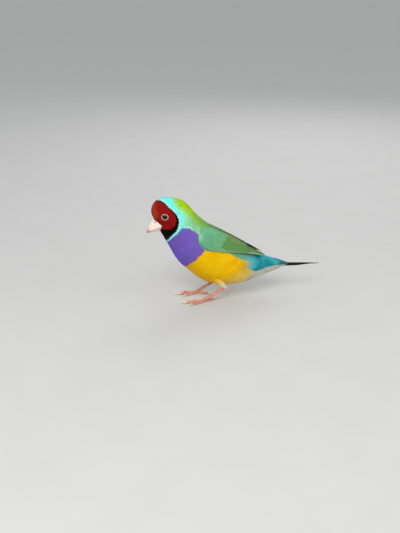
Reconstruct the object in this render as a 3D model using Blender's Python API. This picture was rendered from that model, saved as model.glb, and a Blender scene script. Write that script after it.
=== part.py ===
"""A male Gouldian finch standing at rest, life size, facing -X with +Z up.

Every size is in millimetres and becomes metres where a mesh is made. The flesh is one loft
between a dorsal and a ventral outline, parted by thin cuts into head, neck, torso and tail.
"""

import math
import random

import bmesh
import bpy
from mathutils import Vector

MM = 0.001
GAP = 0.32  # clearance between one node and the next

# Outline stations from bill base to tail base:
# dorsal x, dorsal z, ventral x, ventral z, half width, pinch beside the bill
BODY_STATIONS = (
    (-57.2, 61.0, -53.6, 53.0, 3.6, 0.15),
    (-58.7, 64.2, -52.6, 50.9, 4.6, 0.40),
    (-58.7, 68.0, -51.6, 49.0, 5.9, 0.45),
    (-56.7, 72.0, -50.6, 47.0, 7.2, 0.42),
    (-53.0, 74.6, -49.6, 45.2, 8.3, 0.28),
    (-48.0, 75.4, -48.6, 43.4, 9.0, 0.10),
    (-42.3, 74.3, -47.4, 41.0, 9.6, 0.0),
    (-37.0, 72.1, -46.2, 38.6, 10.5, 0.0),
    (-32.8, 68.4, -44.8, 35.8, 11.7, 0.0),
    (-28.6, 63.0, -42.6, 31.8, 13.1, 0.0),
    (-23.4, 58.0, -39.3, 27.4, 14.3, 0.0),
    (-17.5, 53.4, -34.5, 22.8, 15.2, 0.0),
    (-10.0, 48.7, -28.0, 16.9, 15.4, 0.0),
    (-2.0, 43.1, -18.5, 11.4, 15.0, 0.0),
    (6.0, 37.0, -6.5, 9.2, 13.7, 0.0),
    (13.5, 31.8, 5.0, 10.2, 11.4, 0.0),
    (20.5, 28.6, 14.0, 12.4, 8.6, 0.0),
    (27.0, 26.0, 22.0, 14.9, 6.0, 0.0),
    (33.0, 24.2, 29.5, 17.0, 4.4, 0.0),
    (38.2, 22.7, 36.6, 18.8, 3.0, 0.0),
)
PINCH_LEVEL = 57.5  # height of the mouth, where the face narrows to the bill
PINCH_SPREAD = 5.0
BODY_SEGMENTS = 32
BODY_STEPS = 3  # rings for each station
NECK_START, TORSO_START, TAIL_START = 6.6, 9.4, 14.9  # stations of the thin cuts

# Wing stations: like the body's, but raised at the rear where the folded tips lie over the rump
WING_STATIONS = (
    (-28.6, 63.0, -42.6, 31.8, 13.1, 0.0),
    (-23.4, 58.0, -39.3, 27.4, 14.3, 0.0),
    (-17.5, 53.4, -34.5, 22.8, 15.2, 0.0),
    (-10.0, 48.9, -28.0, 16.9, 15.5, 0.0),
    (-2.0, 44.1, -18.5, 11.4, 15.3, 0.0),
    (6.0, 39.0, -7.0, 9.4, 14.0, 0.0),
    (13.5, 34.5, 4.0, 9.0, 11.4, 0.0),
    (20.0, 30.9, 13.0, 10.0, 9.0, 0.0),
    (27.0, 28.1, 22.0, 12.0, 6.6, 0.0),
)
# Folded wing along its length: wing station, upper edge degrees, lower edge degrees
WING_OUTLINE = (
    (0.75, 44.0, 58.0),
    (1.15, 32.0, 70.0),
    (2.0, 22.0, 74.5),
    (3.0, 15.0, 66.0),
    (4.0, 10.0, 56.5),
    (5.0, 7.0, 46.5),
    (5.9, 7.0, 38.0),
    (6.6, 11.0, 30.0),
    (7.05, 16.0, 24.0),
)
WING_PLATE_END = 6.0  # the plate under the vanes stops here, and the primaries go on
WING_PLATE_THICKNESS = 0.5
WING_PLATE_RIM = (0.03, 0.13)  # share of the width that the plate leaves free at each edge
# Tiers of vanes from the lower edge up, each place as (along the outline, share from upper to
# lower edge): count, first root, last root, first tip, last tip, half width, height
PRIMARIES = (6, (2.0, 0.93), (2.3, 0.60), (7.9, 0.72), (5.8, 0.22), 1.8, 0.48)
SECONDARIES = (5, (2.3, 0.72), (2.2, 0.38), (5.4, 0.72), (5.1, 0.32), 2.15, 0.62)
TERTIALS = (3, (2.1, 0.32), (1.9, 0.12), (5.2, 0.24), (4.2, 0.10), 2.4, 0.78)
PRIMARY_COVERTS = (2, (1.3, 0.96), (1.5, 0.86), (3.4, 0.95), (3.0, 0.84), 1.3, 0.80)
GREATER_COVERTS = (6, (1.6, 0.90), (1.8, 0.13), (2.9, 0.87), (3.5, 0.17), 1.9, 0.86)
MEDIAN_COVERTS = (5, (1.0, 0.88), (1.2, 0.15), (2.05, 0.86), (2.45, 0.19), 2.0, 1.10)
WING_TIERS = (PRIMARIES, SECONDARIES, TERTIALS, PRIMARY_COVERTS, GREATER_COVERTS, MEDIAN_COVERTS)
# A vane from root to tip: share of the length, of the half width and of the thickness
VANE_SHAPE = ((0.0, 0.70, 1.0), (0.4, 1.0, 1.0), (0.82, 0.9, 0.9), (1.0, 0.2, 0.6))
LONG_VANE_SHAPE = (
    (0.0, 0.70, 1.0),
    (0.2, 0.92, 1.0),
    (0.42, 1.0, 1.0),
    (0.64, 1.0, 1.0),
    (0.86, 0.8, 0.85),
    (1.0, 0.2, 0.6),
)
LONG_VANE = 12.0  # vanes longer than this have the second shape, which bends with the body
VANE_THICKNESS = 0.52
VANE_TILT = 0.16  # an outer edge lies this much higher than the vane's middle
ROOT_SINK = 0.4
VANE_FLOOR = GAP + 0.13  # no vane of a wing lies lower than this over the body

# Tail coverts as tiers on the body's own loft: count, station of the roots and of the tips,
# first and last degrees of the roots and of the tips, half width, height
UPPER_TAIL_COVERTS = (
    (3, 15.3, 17.2, -42.0, 42.0, -38.0, 38.0, 2.6, 0.12),
    (2, 16.3, 18.1, -22.0, 22.0, -19.0, 19.0, 2.2, 0.2),
    (2, 17.2, 18.9, -20.0, 20.0, -16.0, 16.0, 1.6, 0.3),
)
UNDER_TAIL_COVERTS = (
    (3, 15.3, 17.3, 140.0, 220.0, 144.0, 216.0, 2.5, 0.12),
    (2, 16.4, 18.6, 158.0, 202.0, 162.0, 198.0, 2.0, 0.2),
)
COVERT_TILT = 0.03
COVERT_STEP = 0.01  # rise from one covert of a tier to the next
# Tail feathers in pairs, from the long central pair outwards: x of the tip, half width
RECTRICES = ((62.2, 1.15), (56.5, 1.35), (53.0, 1.35), (49.5, 1.3))
RECTRIX_ROOT = Vector((24.0, 0.0, 21.9))
RECTRIX_SPREAD = 0.34  # how far each pair lies outside the one above it
RECTRIX_DROP = 0.27  # and how far under it
RECTRIX_START = 0.55  # how far out the central pair lies, in steps of that spread
RECTRIX_THICKNESS, RECTRIX_TILT = 0.5, -0.08
RECTRIX_STEP = 0.02  # the right feather of a pair lies this much over the left one's middle
RECTRIX_CLOSING = 0.35  # share of a feather's spread that its tip comes back by
RECTRIX_LIFT = 0.1  # how much of its drop each pair makes up at the tip
TAIL_TIP_Z = 18.6

HEAD_PITCH = 25.0  # degrees that the bill points below the horizon
GAPE = Vector((-52.3, 0.0, 55.9))  # middle of the mouth line at its corners
# Bill profile ahead of the gape: forward, culmen height, mouth height, gonys height, half width
BILL_STATIONS = (
    (-0.4, 6.5, 0.0, -2.7, 4.3),
    (1.6, 5.95, 0.05, -2.4, 4.2),
    (3.4, 5.25, 0.1, -2.1, 3.75),
    (5.2, 4.45, 0.15, -1.75, 3.1),
    (7.0, 3.5, 0.2, -1.35, 2.4),
    (8.7, 2.45, 0.2, -0.9, 1.65),
    (9.9, 1.5, 0.1, -0.5, 1.0),
    (10.8, 0.6, -0.05, -0.55, 0.45),
)
CULMEN_SLANT, GONYS_SLANT = 0.41, 1.1  # how far forward the feather line leans for each mm of height
BILL_SEGMENTS = 10
BILL_FULLNESS = 0.82  # under 1 makes the bill's section fuller than an oval
LOWER_BILL_SHARE = 0.93  # width of the lower half against the upper
NOSTRIL_RADIUS = 0.45
NOSTRIL_INNER, NOSTRIL_OUTER = (2.3, 4.6, 1.8), (2.9, 5.2, 4.5)  # forward, upward, aside

EYE_STATION, EYE_ANGLE = 4.25, 75.0
EYE_RADIUS = 2.2
EYE_DEPTH = 1.4  # how far the eye's centre lies under the skin
LID_RADIUS, LID_THICKNESS = 2.1, 0.38

# Leg joints of each side, before the side's sign is set on Y
LEGS = {
    "left": {"knee": (-18.0, 9.4, 20.5), "heel": (-9.3, 8.4, 9.6), "ankle": (-24.2, 8.8, 1.9)},
    "right": {"knee": (-19.0, 9.2, 20.5), "heel": (-10.6, 8.0, 9.6), "ankle": (-25.6, 8.0, 1.9)},
}
SHANK_RADIUS = 1.08
# Thigh from knee to heel: share of the way, radius
THIGH_SHAPE = ((0.0, 1.5), (0.1, 2.4), (0.28, 2.9), (0.5, 2.6), (0.72, 2.2), (0.9, 1.9), (1.0, 1.7))
SHANK_SCUTES = 7
SCUTES_SPAN = (0.12, 0.94)  # shares of the shank between which the scutes lie
SCUTE_STEPS = ((0.05, 0.97), (0.85, 1.07))  # share of a scute's length, swelling
SHANK_WAIST = 0.12
HEEL_KNOB = ((-0.9, 0.7), (0.0, 1.3), (1.2, 1.25))  # distance down from the heel, swelling
ANKLE_KNOB = ((0.0, 1.1), (0.5, 0.75))  # distance down from the ankle, swelling
TOE_RADIUS = 0.78
TOE_LEVEL = 0.62  # height of a toe's axis, so that the clipped sole has a flat
TOE_PADS = (1.25, 1.05, 1.12, 0.92, 1.08, 0.85, 0.72)  # swelling of a toe from root to claw
TOE_LIFTS = (1.2, 0.35, 0.0, 0.12, 0.0, 0.12, 0.0)  # its axis over that level, on the same places
TOE_FLATNESS = 0.95
SOLE_LEVEL, SOLE_RADIUS = 1.3, 1.5  # ball of the foot, under the shank
CLAW_ROWS = 6
CLAW_ARCH, CLAW_TIP_LEVEL = 0.75, 0.28
CLAW_RADIUS, CLAW_TIP_RADIUS = 0.5, 0.13
# Toes of the left foot: degrees from straight ahead, length, claw length
TOES = (
    (-22.0, 9.2, 3.8),
    (-2.0, 12.8, 4.8),
    (21.0, 10.0, 3.8),
    (-158.0, 8.2, 4.8),
)


def station_at(table, t):
    """Values of a station table at t, by a Catmull-Rom curve through its rows."""
    last = len(table) - 1
    i = min(max(int(math.floor(t)), 0), last - 1)
    f = t - i
    rows = [table[min(max(i + k, 0), last)] for k in (-1, 0, 1, 2)]
    return [
        0.5 * (2 * b + (c - a) * f + (2 * a - 5 * b + 4 * c - d) * f**2
               + (3 * b - a - 3 * c + d) * f**3)
        for a, b, c, d in zip(*rows)
    ]


def loft_point(table, t, angle):
    """A point of the loft: angle 0 is the dorsal outline and 180 degrees the ventral one."""
    top_x, top_z, low_x, low_z, width, pinch = station_at(table, t)
    up = Vector((top_x - low_x, 0, top_z - low_z)) / 2
    centre = Vector((top_x + low_x, 0, top_z + low_z)) / 2
    point = centre + up * math.cos(angle)
    level = (point.z - PINCH_LEVEL) / PINCH_SPREAD
    point.y = width * math.sin(angle) * (1 - pinch * math.exp(-level * level))
    return point


def loft_normal(table, t, angle):
    """The outward normal of the loft."""
    step = 0.01
    along = loft_point(table, t + step, angle) - loft_point(table, t - step, angle)
    around = loft_point(table, t, angle + step) - loft_point(table, t, angle - step)
    return along.cross(around).normalized()


def loft_offset(table, t, angle, height):
    return loft_point(table, t, angle) + loft_normal(table, t, angle) * height


def add_material(name, colour, roughness):
    material = bpy.data.materials.new(name)
    material.use_nodes = True
    shader = material.node_tree.nodes["Principled BSDF"]
    shader.inputs["Base Color"].default_value = (*colour, 1)
    shader.inputs["Roughness"].default_value = roughness
    return material


def add_object(name, points, faces, material=None):
    """An object from points in millimetres, with its faces turned outwards."""
    mesh = bpy.data.meshes.new(name)
    mesh.from_pydata([Vector(p) * MM for p in points], [], faces)
    work = bmesh.new()
    work.from_mesh(mesh)
    bmesh.ops.recalc_face_normals(work, faces=work.faces)
    work.to_mesh(mesh)
    work.free()
    made = bpy.data.objects.new(name, mesh)
    bpy.context.scene.collection.objects.link(made)
    if material:
        mesh.materials.append(material)
    mesh.shade_smooth()
    return made


def tube_faces(rings, segments):
    """Side quads and two end caps for rings of points laid one after another."""
    faces = [
        (r * segments + k, r * segments + (k + 1) % segments,
         (r + 1) * segments + (k + 1) % segments, (r + 1) * segments + k)
        for r in range(rings - 1)
        for k in range(segments)
    ]
    faces.append(tuple(range(segments)))
    faces.append(tuple((rings - 1) * segments + k for k in range(segments)))
    return faces


def add_tube(name, centres, radii, segments, material=None):
    """A round tube through centres, whose radii are single or (across, upright) pairs."""
    points = []
    for i, centre in enumerate(centres):
        ahead = centres[min(i + 1, len(centres) - 1)] - centres[max(i - 1, 0)]
        side = ahead.cross(Vector((0, 0, 1))).normalized()
        upright = side.cross(ahead).normalized()
        wide, tall = radii[i] if isinstance(radii[i], tuple) else (radii[i], radii[i])
        for k in range(segments):
            turn = 2 * math.pi * (k + 0.5) / segments
            points.append(centre + side * wide * math.cos(turn) + upright * tall * math.sin(turn))
    return add_object(name, points, tube_faces(len(centres), segments), material)


def apply_boolean(target, cutter, operation, solver="EXACT"):
    """Joins or cuts target with an object or a collection, which is then removed."""
    modifier = target.modifiers.new(operation, "BOOLEAN")
    modifier.operation = operation
    modifier.solver = solver
    if isinstance(cutter, bpy.types.Collection):
        modifier.operand_type = "COLLECTION"
        modifier.collection = cutter
        used = list(cutter.objects)
    else:
        modifier.object = cutter
        used = [cutter]
    graph = bpy.context.evaluated_depsgraph_get()
    result = bpy.data.meshes.new_from_object(target.evaluated_get(graph))
    target.modifiers.clear()
    target.data = result
    for other in used:
        bpy.data.objects.remove(other)
    if isinstance(cutter, bpy.types.Collection):
        bpy.data.collections.remove(cutter)
    keep_largest(target)


def keep_largest(target):
    """Keeps the largest closed surface of an object's mesh."""
    work = bmesh.new()
    work.from_mesh(target.data)
    unseen = set(work.faces)
    shells = []
    while unseen:
        shell = [unseen.pop()]
        for face in shell:
            for edge in face.edges:
                for other in edge.link_faces:
                    if other in unseen:
                        unseen.remove(other)
                        shell.append(other)
        shells.append(shell)
    shells.sort(key=lambda shell: sum(face.calc_area() for face in shell))
    for shell in shells[:-1]:
        bmesh.ops.delete(work, geom=shell, context="FACES")
    work.to_mesh(target.data)
    work.free()


def slice_off(target, point, outward):
    """Cuts away what lies beyond a plane through point, and caps the cut."""
    work = bmesh.new()
    work.from_mesh(target.data)
    everything = work.verts[:] + work.edges[:] + work.faces[:]
    cut = bmesh.ops.bisect_plane(
        work, geom=everything, plane_co=Vector(point) * MM, plane_no=outward, clear_outer=True
    )
    rim = [edge for edge in cut["geom_cut"] if isinstance(edge, bmesh.types.BMEdge)]
    bmesh.ops.holes_fill(work, edges=rim, sides=0)
    bmesh.ops.recalc_face_normals(work, faces=work.faces)
    work.to_mesh(target.data)
    work.free()


def cut_plane(t):
    """A point and the tailward normal of the section plane at body station t."""
    top_x, top_z, low_x, low_z = station_at(BODY_STATIONS, t)[:4]
    upright = Vector((top_x - low_x, 0, top_z - low_z)).normalized()
    return Vector((top_x, 0, top_z)), Vector((upright.z, 0, -upright.x))


def body_loft(name, grow=0.0, material=None):
    """The flesh as one closed loft, grown by a clearance where it serves as a cutter."""
    count = (len(BODY_STATIONS) - 1) * BODY_STEPS + 1
    points = []
    for r in range(count):
        t = r / BODY_STEPS
        for k in range(BODY_SEGMENTS):
            angle = 2 * math.pi * k / BODY_SEGMENTS
            if grow:
                points.append(loft_offset(BODY_STATIONS, t, angle, grow))
            else:
                points.append(loft_point(BODY_STATIONS, t, angle))
    return add_object(name, points, tube_faces(count, BODY_SEGMENTS), material)


def body_part(name, start, end, material):
    """The length of the flesh between two stations, parted from its neighbours by thin cuts."""
    part = body_loft(name, material=material)
    if start is not None:
        point, tailward = cut_plane(start)
        slice_off(part, point + tailward * GAP / 2, -tailward)
    if end is not None:
        point, tailward = cut_plane(end)
        slice_off(part, point - tailward * GAP / 2, tailward)
    return part


def bill_point(forward, upward, side):
    """A point given ahead of, above and beside the gape, in the pitched head's own axes."""
    pitch = math.radians(HEAD_PITCH)
    ahead = Vector((-math.cos(pitch), 0, -math.sin(pitch)))
    above = Vector((-math.sin(pitch), 0, math.cos(pitch)))
    return GAPE + ahead * forward + above * upward + Vector((0, side, 0))


def bill_half(name, upper, grow, material):
    """One mandible: an arched section on a flat mouth face, cut off at the feather line."""
    slant = CULMEN_SLANT if upper else -GONYS_SLANT
    last = len(BILL_STATIONS) - 1
    points = []
    for i, (forward, culmen, mouth, gonys, width) in enumerate(BILL_STATIONS):
        inner = mouth + (GAP / 2 - grow if upper else grow - GAP / 2)
        outer = culmen + grow if upper else gonys - grow
        reach = forward + (grow if i == last else -grow if i == 0 else 0)
        wide = (width + grow) * (1.0 if upper else LOWER_BILL_SHARE)
        for k in range(BILL_SEGMENTS + 1):
            turn = math.pi * k / BILL_SEGMENTS
            level = inner + (outer - inner) * math.sin(turn) ** BILL_FULLNESS
            side = math.copysign(abs(math.cos(turn)) ** BILL_FULLNESS, math.cos(turn))
            points.append(bill_point(reach + slant * (1 - i / last) * level, level, wide * side))
    ring = BILL_SEGMENTS + 1
    return add_object(name, points, tube_faces(len(BILL_STATIONS), ring), material)


def add_bill(material):
    """Both mandibles, with a nostril sunk in each side of the upper one."""
    upper = bill_half("upper_bill", True, 0.0, material)
    for side in (1, -1):
        nostril = add_tube(
            "nostril",
            [bill_point(*place[:2], side * place[2]) for place in (NOSTRIL_INNER, NOSTRIL_OUTER)],
            [NOSTRIL_RADIUS, NOSTRIL_RADIUS],
            8,
        )
        apply_boolean(upper, nostril, "DIFFERENCE")
    bill_half("lower_bill", False, 0.0, material)


def eye_frame(side):
    """Point on the skin and outward normal at the eye of one side."""
    angle = math.radians(EYE_ANGLE) * side
    return (
        loft_point(BODY_STATIONS, EYE_STATION, angle),
        loft_normal(BODY_STATIONS, EYE_STATION, angle),
    )


def add_ball(name, centre, radius, material=None, rings=12):
    points, faces = [], []
    segments = rings * 2
    for r in range(1, rings):
        polar = math.pi * r / rings
        for k in range(segments):
            turn = 2 * math.pi * k / segments
            points.append(
                centre
                + radius
                * Vector((
                    math.sin(polar) * math.cos(turn),
                    math.sin(polar) * math.sin(turn),
                    math.cos(polar),
                ))
            )
    faces = tube_faces(rings - 1, segments)[:-2]
    top, bottom = len(points), len(points) + 1
    points += [centre + Vector((0, 0, radius)), centre - Vector((0, 0, radius))]
    final = (rings - 2) * segments
    for k in range(segments):
        faces.append((top, (k + 1) % segments, k))
        faces.append((bottom, final + k, final + (k + 1) % segments))
    return add_object(name, points, faces, material)


def add_ring(name, centre, normal, radius, thickness, segments=20, sides=6):
    """A round ring that lies square to a normal."""
    turn = normal.to_track_quat("Z", "Y").to_matrix()
    points, faces = [], []
    for k in range(segments):
        a = 2 * math.pi * k / segments
        for j in range(sides):
            b = 2 * math.pi * j / sides
            reach = radius + thickness * math.cos(b)
            local = Vector((reach * math.cos(a), reach * math.sin(a), thickness * math.sin(b)))
            points.append(centre + turn @ local)
            here, there = k * sides, (k + 1) % segments * sides
            faces.append((here + j, here + (j + 1) % sides, there + (j + 1) % sides, there + j))
    return add_object(name, points, faces)


def add_head(skin, horn, eye_material):
    """Head with the lids fused on and pockets for the eyes and the bill."""
    head = body_part("head", None, NECK_START, skin)
    for side, name in ((-1, "left"), (1, "right")):
        point, normal = eye_frame(side)
        centre = point - normal * EYE_DEPTH
        apply_boolean(head, add_ring("lid", point, normal, LID_RADIUS, LID_THICKNESS), "UNION")
        apply_boolean(head, add_ball("socket", centre, EYE_RADIUS + GAP, rings=8), "DIFFERENCE")
        add_ball(f"eye_{name}", centre, EYE_RADIUS, eye_material, rings=9)
    for upper in (True, False):
        apply_boolean(head, bill_half("pocket", upper, GAP, None), "DIFFERENCE")
    add_bill(horn)


def wing_place(s, share):
    """Wing station and angle of a place on the folded wing."""
    t, upper, lower = station_at(WING_OUTLINE, s)
    return t, math.radians(upper + (lower - upper) * share)


def across_loft(table, t, angle, across, height, side=1):
    """A point of a loft's offset surface, moved round the body by a distance across."""
    step = 0.05
    ring = loft_point(table, t, angle + step) - loft_point(table, t, angle - step)
    turn = across * 2 * step / ring.length
    point = loft_offset(table, t, angle + turn, height)
    return Vector((point.x, point.y * side, point.z))


def blend_pair(first, last, share):
    return [a + (b - a) * share for a, b in zip(first, last)]


def add_vane(collection, place, half_width, height, thickness=VANE_THICKNESS, tilt=VANE_TILT,
             floor=-ROOT_SINK):
    """A feather's vane. place(share of length, across, height) gives its points in space."""
    length = (place(1, 0, 0) - place(0, 0, 0)).length
    shape = LONG_VANE_SHAPE if length > LONG_VANE else VANE_SHAPE
    points = []
    for along, wide, thick in shape:
        low = height - ROOT_SINK * (1 - along) ** 3
        for edge, face in ((-1, 0), (-1, 1), (1, 1), (1, 0)):
            level = max(low + tilt * edge, floor) + face * thickness * thick
            points.append(place(along, edge * half_width * wide, level))
    faces = [(0, 1, 2), (0, 2, 3)]
    for ring in range(len(shape) - 1):
        a, b, c, d = range(4 * ring, 4 * ring + 4)
        e, f, g, h = range(4 * ring + 4, 4 * ring + 8)
        faces += [(b, c, g), (b, g, f), (a, d, h), (a, h, e)]
        faces += [(a, b, f), (a, f, e), (c, d, h), (c, h, g)]
    end = 4 * (len(shape) - 1)
    faces += [(end, end + 1, end + 2), (end, end + 2, end + 3)]
    vane = add_object("vane", points, faces)
    bpy.context.scene.collection.objects.unlink(vane)
    collection.objects.link(vane)


def add_wing(name, side, material, rng):
    """A folded wing: a thin plate on the body under six tiers of overlapping vanes."""
    wing = add_wing_plate(name, side, material)
    vanes = bpy.data.collections.new("vanes")
    for count, first_root, last_root, first_tip, last_tip, half_width, height in WING_TIERS:
        for i in range(count):
            share = i / (count - 1)
            root = blend_pair(first_root, last_root, share)
            tip = blend_pair(first_tip, last_tip, share)
            tip[0] += rng.uniform(-0.04, 0.04)

            def place(along, across, level, root=root, tip=tip):
                t, angle = wing_place(*blend_pair(root, tip, along))
                return across_loft(WING_STATIONS, t, angle, across, level, side)

            wide = half_width * rng.uniform(0.96, 1.04)
            add_vane(vanes, place, wide, height + 0.012 * i, floor=VANE_FLOOR)
    apply_boolean(wing, vanes, "UNION")
    return wing


def add_wing_plate(name, side, material):
    rows, columns = 14, 6
    points = []
    for i in range(rows + 1):
        s = WING_PLATE_END * i / rows
        rim = WING_PLATE_RIM[0] + (WING_PLATE_RIM[1] - WING_PLATE_RIM[0]) * (i / rows) ** 2
        shares = [rim + (1 - 2 * rim) * k / columns for k in range(columns + 1)]
        ring = [(share, GAP + WING_PLATE_THICKNESS) for share in shares]
        ring += [(share, GAP) for share in reversed(shares)]
        for share, height in ring:
            t, angle = wing_place(s, share)
            points.append(across_loft(WING_STATIONS, t, angle, 0.0, height, side))
    return add_object(name, points, tube_faces(rows + 1, 2 * (columns + 1)), material)


def add_tail(material, rng):
    """The tail's base with its coverts, and the folded tail feathers that leave it."""
    tail = body_part("tail", TAIL_START, None, material)
    vanes = bpy.data.collections.new("vanes")
    for tier in UPPER_TAIL_COVERTS + UNDER_TAIL_COVERTS:
        add_covert_tier(vanes, tier, rng)
    for pair, (tip_x, half_width) in enumerate(RECTRICES):
        for side in (-1, 1):
            add_rectrix(vanes, pair, side, tip_x, half_width)
    apply_boolean(tail, vanes, "UNION")
    return tail


def add_covert_tier(vanes, tier, rng):
    count, root_t, tip_t, root_from, root_to, tip_from, tip_to, half_width, height = tier
    for i in range(count):
        share = i / (count - 1)
        root = (root_t, root_from + (root_to - root_from) * share)
        tip = (tip_t - rng.uniform(0, 0.08), tip_from + (tip_to - tip_from) * share)

        def place(along, across, level, root=root, tip=tip):
            t, degrees = blend_pair(root, tip, along)
            return across_loft(BODY_STATIONS, t, math.radians(degrees), across, level)

        add_vane(vanes, place, half_width, height + COVERT_STEP * i, tilt=COVERT_TILT)


def add_rectrix(vanes, pair, side, tip_x, half_width):
    """One tail feather, lying under its neighbour towards the middle."""
    spread = RECTRIX_SPREAD * (pair + RECTRIX_START)
    root = RECTRIX_ROOT + Vector((0, side * spread, -RECTRIX_DROP * pair))
    slope = (TAIL_TIP_Z - RECTRIX_ROOT.z) / (RECTRICES[0][0] - RECTRIX_ROOT.x)
    reach = tip_x - RECTRIX_ROOT.x
    tip = root + Vector((reach, -side * spread * RECTRIX_CLOSING, slope * reach + RECTRIX_LIFT * pair))

    def place(along, across, level):
        return root.lerp(tip, along) + Vector((0, across * side, level))

    add_vane(vanes, place, half_width, RECTRIX_STEP * side, RECTRIX_THICKNESS, RECTRIX_TILT)


def leg_joint(name, joint):
    """A joint of one leg, on its own side of the body."""
    x, y, z = LEGS[name][joint]
    return Vector((x, y if name == "right" else -y, z))


def shank_tube(node, name, grow, material):
    """The bare shank: a knob at the heel, then scutes that each end in a small step."""
    heel, ankle = leg_joint(name, "heel"), leg_joint(name, "ankle")
    down = (ankle - heel).normalized()
    centres = [heel + down * (reach - grow * (reach < 0)) for reach, _ in HEEL_KNOB]
    radii = [radius for _, radius in HEEL_KNOB]
    first, last = SCUTES_SPAN
    for i in range(SHANK_SCUTES):
        waist = 1.0 - SHANK_WAIST * math.sin(math.pi * (i + 0.5) / SHANK_SCUTES)
        for share, bulge in SCUTE_STEPS:
            centres.append(heel.lerp(ankle, first + (last - first) * (i + share) / SHANK_SCUTES))
            radii.append(waist * bulge)
    centres += [ankle + down * (reach + grow * (reach > 0)) for reach, _ in ANKLE_KNOB]
    radii += [radius for _, radius in ANKLE_KNOB]
    return add_tube(node, centres, [SHANK_RADIUS * r + grow for r in radii], 8, material)


def add_leg(side, name, skin, scale, claw_horn):
    """Feathered thigh, bare shank, and foot with its claws."""
    knee, heel = leg_joint(name, "knee"), leg_joint(name, "heel")
    below = heel + (heel - knee).normalized() * 0.4
    centres = [knee.lerp(below, share) for share, _ in THIGH_SHAPE]
    radii = [radius for _, radius in THIGH_SHAPE]
    thigh = add_tube(f"thigh_{name}", centres, radii, 16, skin)
    apply_boolean(thigh, body_loft("flank", grow=GAP), "DIFFERENCE")
    apply_boolean(thigh, shank_tube("joint", name, GAP, None), "DIFFERENCE")
    shank_tube(f"shank_{name}", name, 0.0, scale)
    add_foot(side, name, leg_joint(name, "ankle"), scale, claw_horn)


def toe_path(side, ankle, degrees, length):
    """Points along a toe's axis, from under the shank to where the claw starts."""
    turn = math.radians(degrees) * side
    ahead = Vector((-math.cos(turn), math.sin(turn), 0))
    start = Vector((ankle.x, ankle.y, TOE_LEVEL))
    path = [
        start + ahead * length * i / (len(TOE_LIFTS) - 1) + Vector((0, 0, lift))
        for i, lift in enumerate(TOE_LIFTS)
    ]
    return path, ahead


def add_foot(side, name, ankle, scale, claw_horn):
    """Four toes fused at the ankle, clipped flat underneath, each with its own claw."""
    toes = bpy.data.collections.new("toes")
    foot = add_ball(f"foot_{name}", Vector((ankle.x, ankle.y, SOLE_LEVEL)), SOLE_RADIUS, scale, rings=6)
    for number, (degrees, length, claw) in enumerate(TOES, 1):
        path, ahead = toe_path(side, ankle, degrees, length)
        radii = [(TOE_RADIUS * pad, TOE_RADIUS * pad * TOE_FLATNESS) for pad in TOE_PADS]
        toe = add_tube("toe", path, radii, 10)
        bpy.context.scene.collection.objects.unlink(toe)
        toes.objects.link(toe)
        add_claw(f"claw_{name}_{number}", path[-1] + ahead * GAP, ahead, claw, claw_horn)
    apply_boolean(foot, toes, "UNION")
    slice_off(foot, Vector((0, 0, 0)), Vector((0, 0, -1)))
    apply_boolean(foot, shank_tube("joint", name, GAP, None), "DIFFERENCE")


def add_claw(name, base, ahead, length, claw_horn):
    """A curved claw that rises from the toe and comes down to just above the floor."""
    centres, radii = [], []
    for i in range(CLAW_ROWS + 1):
        f = i / CLAW_ROWS
        arch = CLAW_ARCH * math.sin(math.pi * min(f * 1.15, 1))
        fall = (base.z - CLAW_TIP_LEVEL) * f**2
        centres.append(base + ahead * length * f + Vector((0, 0, arch - fall)))
        radii.append(CLAW_RADIUS * (1 - f) ** 0.8 + CLAW_TIP_RADIUS)
    add_tube(name, centres, radii, 8, claw_horn)


def main():
    for old in list(bpy.data.objects):
        bpy.data.objects.remove(old)
    red = add_material("mask_red", (0.30, 0.01, 0.01), 0.7)
    lime = add_material("neck_green", (0.35, 0.62, 0.20), 0.7)
    yellow = add_material("belly_yellow", (0.80, 0.52, 0.02), 0.7)
    green = add_material("wing_green", (0.12, 0.36, 0.16), 0.6)
    dark = add_material("tail_black", (0.02, 0.02, 0.02), 0.5)
    horn = add_material("bill_horn", (0.85, 0.76, 0.70), 0.35)
    claw_horn = add_material("claw_horn", (0.80, 0.74, 0.62), 0.4)
    pink = add_material("leg_pink", (0.72, 0.38, 0.32), 0.5)
    eye = add_material("eye_dark", (0.02, 0.01, 0.01), 0.05)
    add_head(red, horn, eye)
    body_part("neck", NECK_START, TORSO_START, lime)
    body_part("torso", TORSO_START, TAIL_START, yellow)
    rng = random.Random(7)
    add_tail(dark, rng)
    for side, name in ((-1, "left"), (1, "right")):
        add_wing(f"wing_{name}", side, green, rng)
        add_leg(side, name, yellow, pink, claw_horn)


main()
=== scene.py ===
"""Looks of the standing male finch: skin, feather coat, wings, tail, bill, eyes, legs and stage.

Sizes are in millimetres on the same loft as the solids, and become metres where a mesh is made.
A place on the body is its station t, from bill base to tail base, and its angle round the body,
which is 0 on the back, 180 degrees on the belly, and negative on the bird's left side.
"""

import math

import bmesh
import bpy
import numpy as np
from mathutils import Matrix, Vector, kdtree


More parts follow.
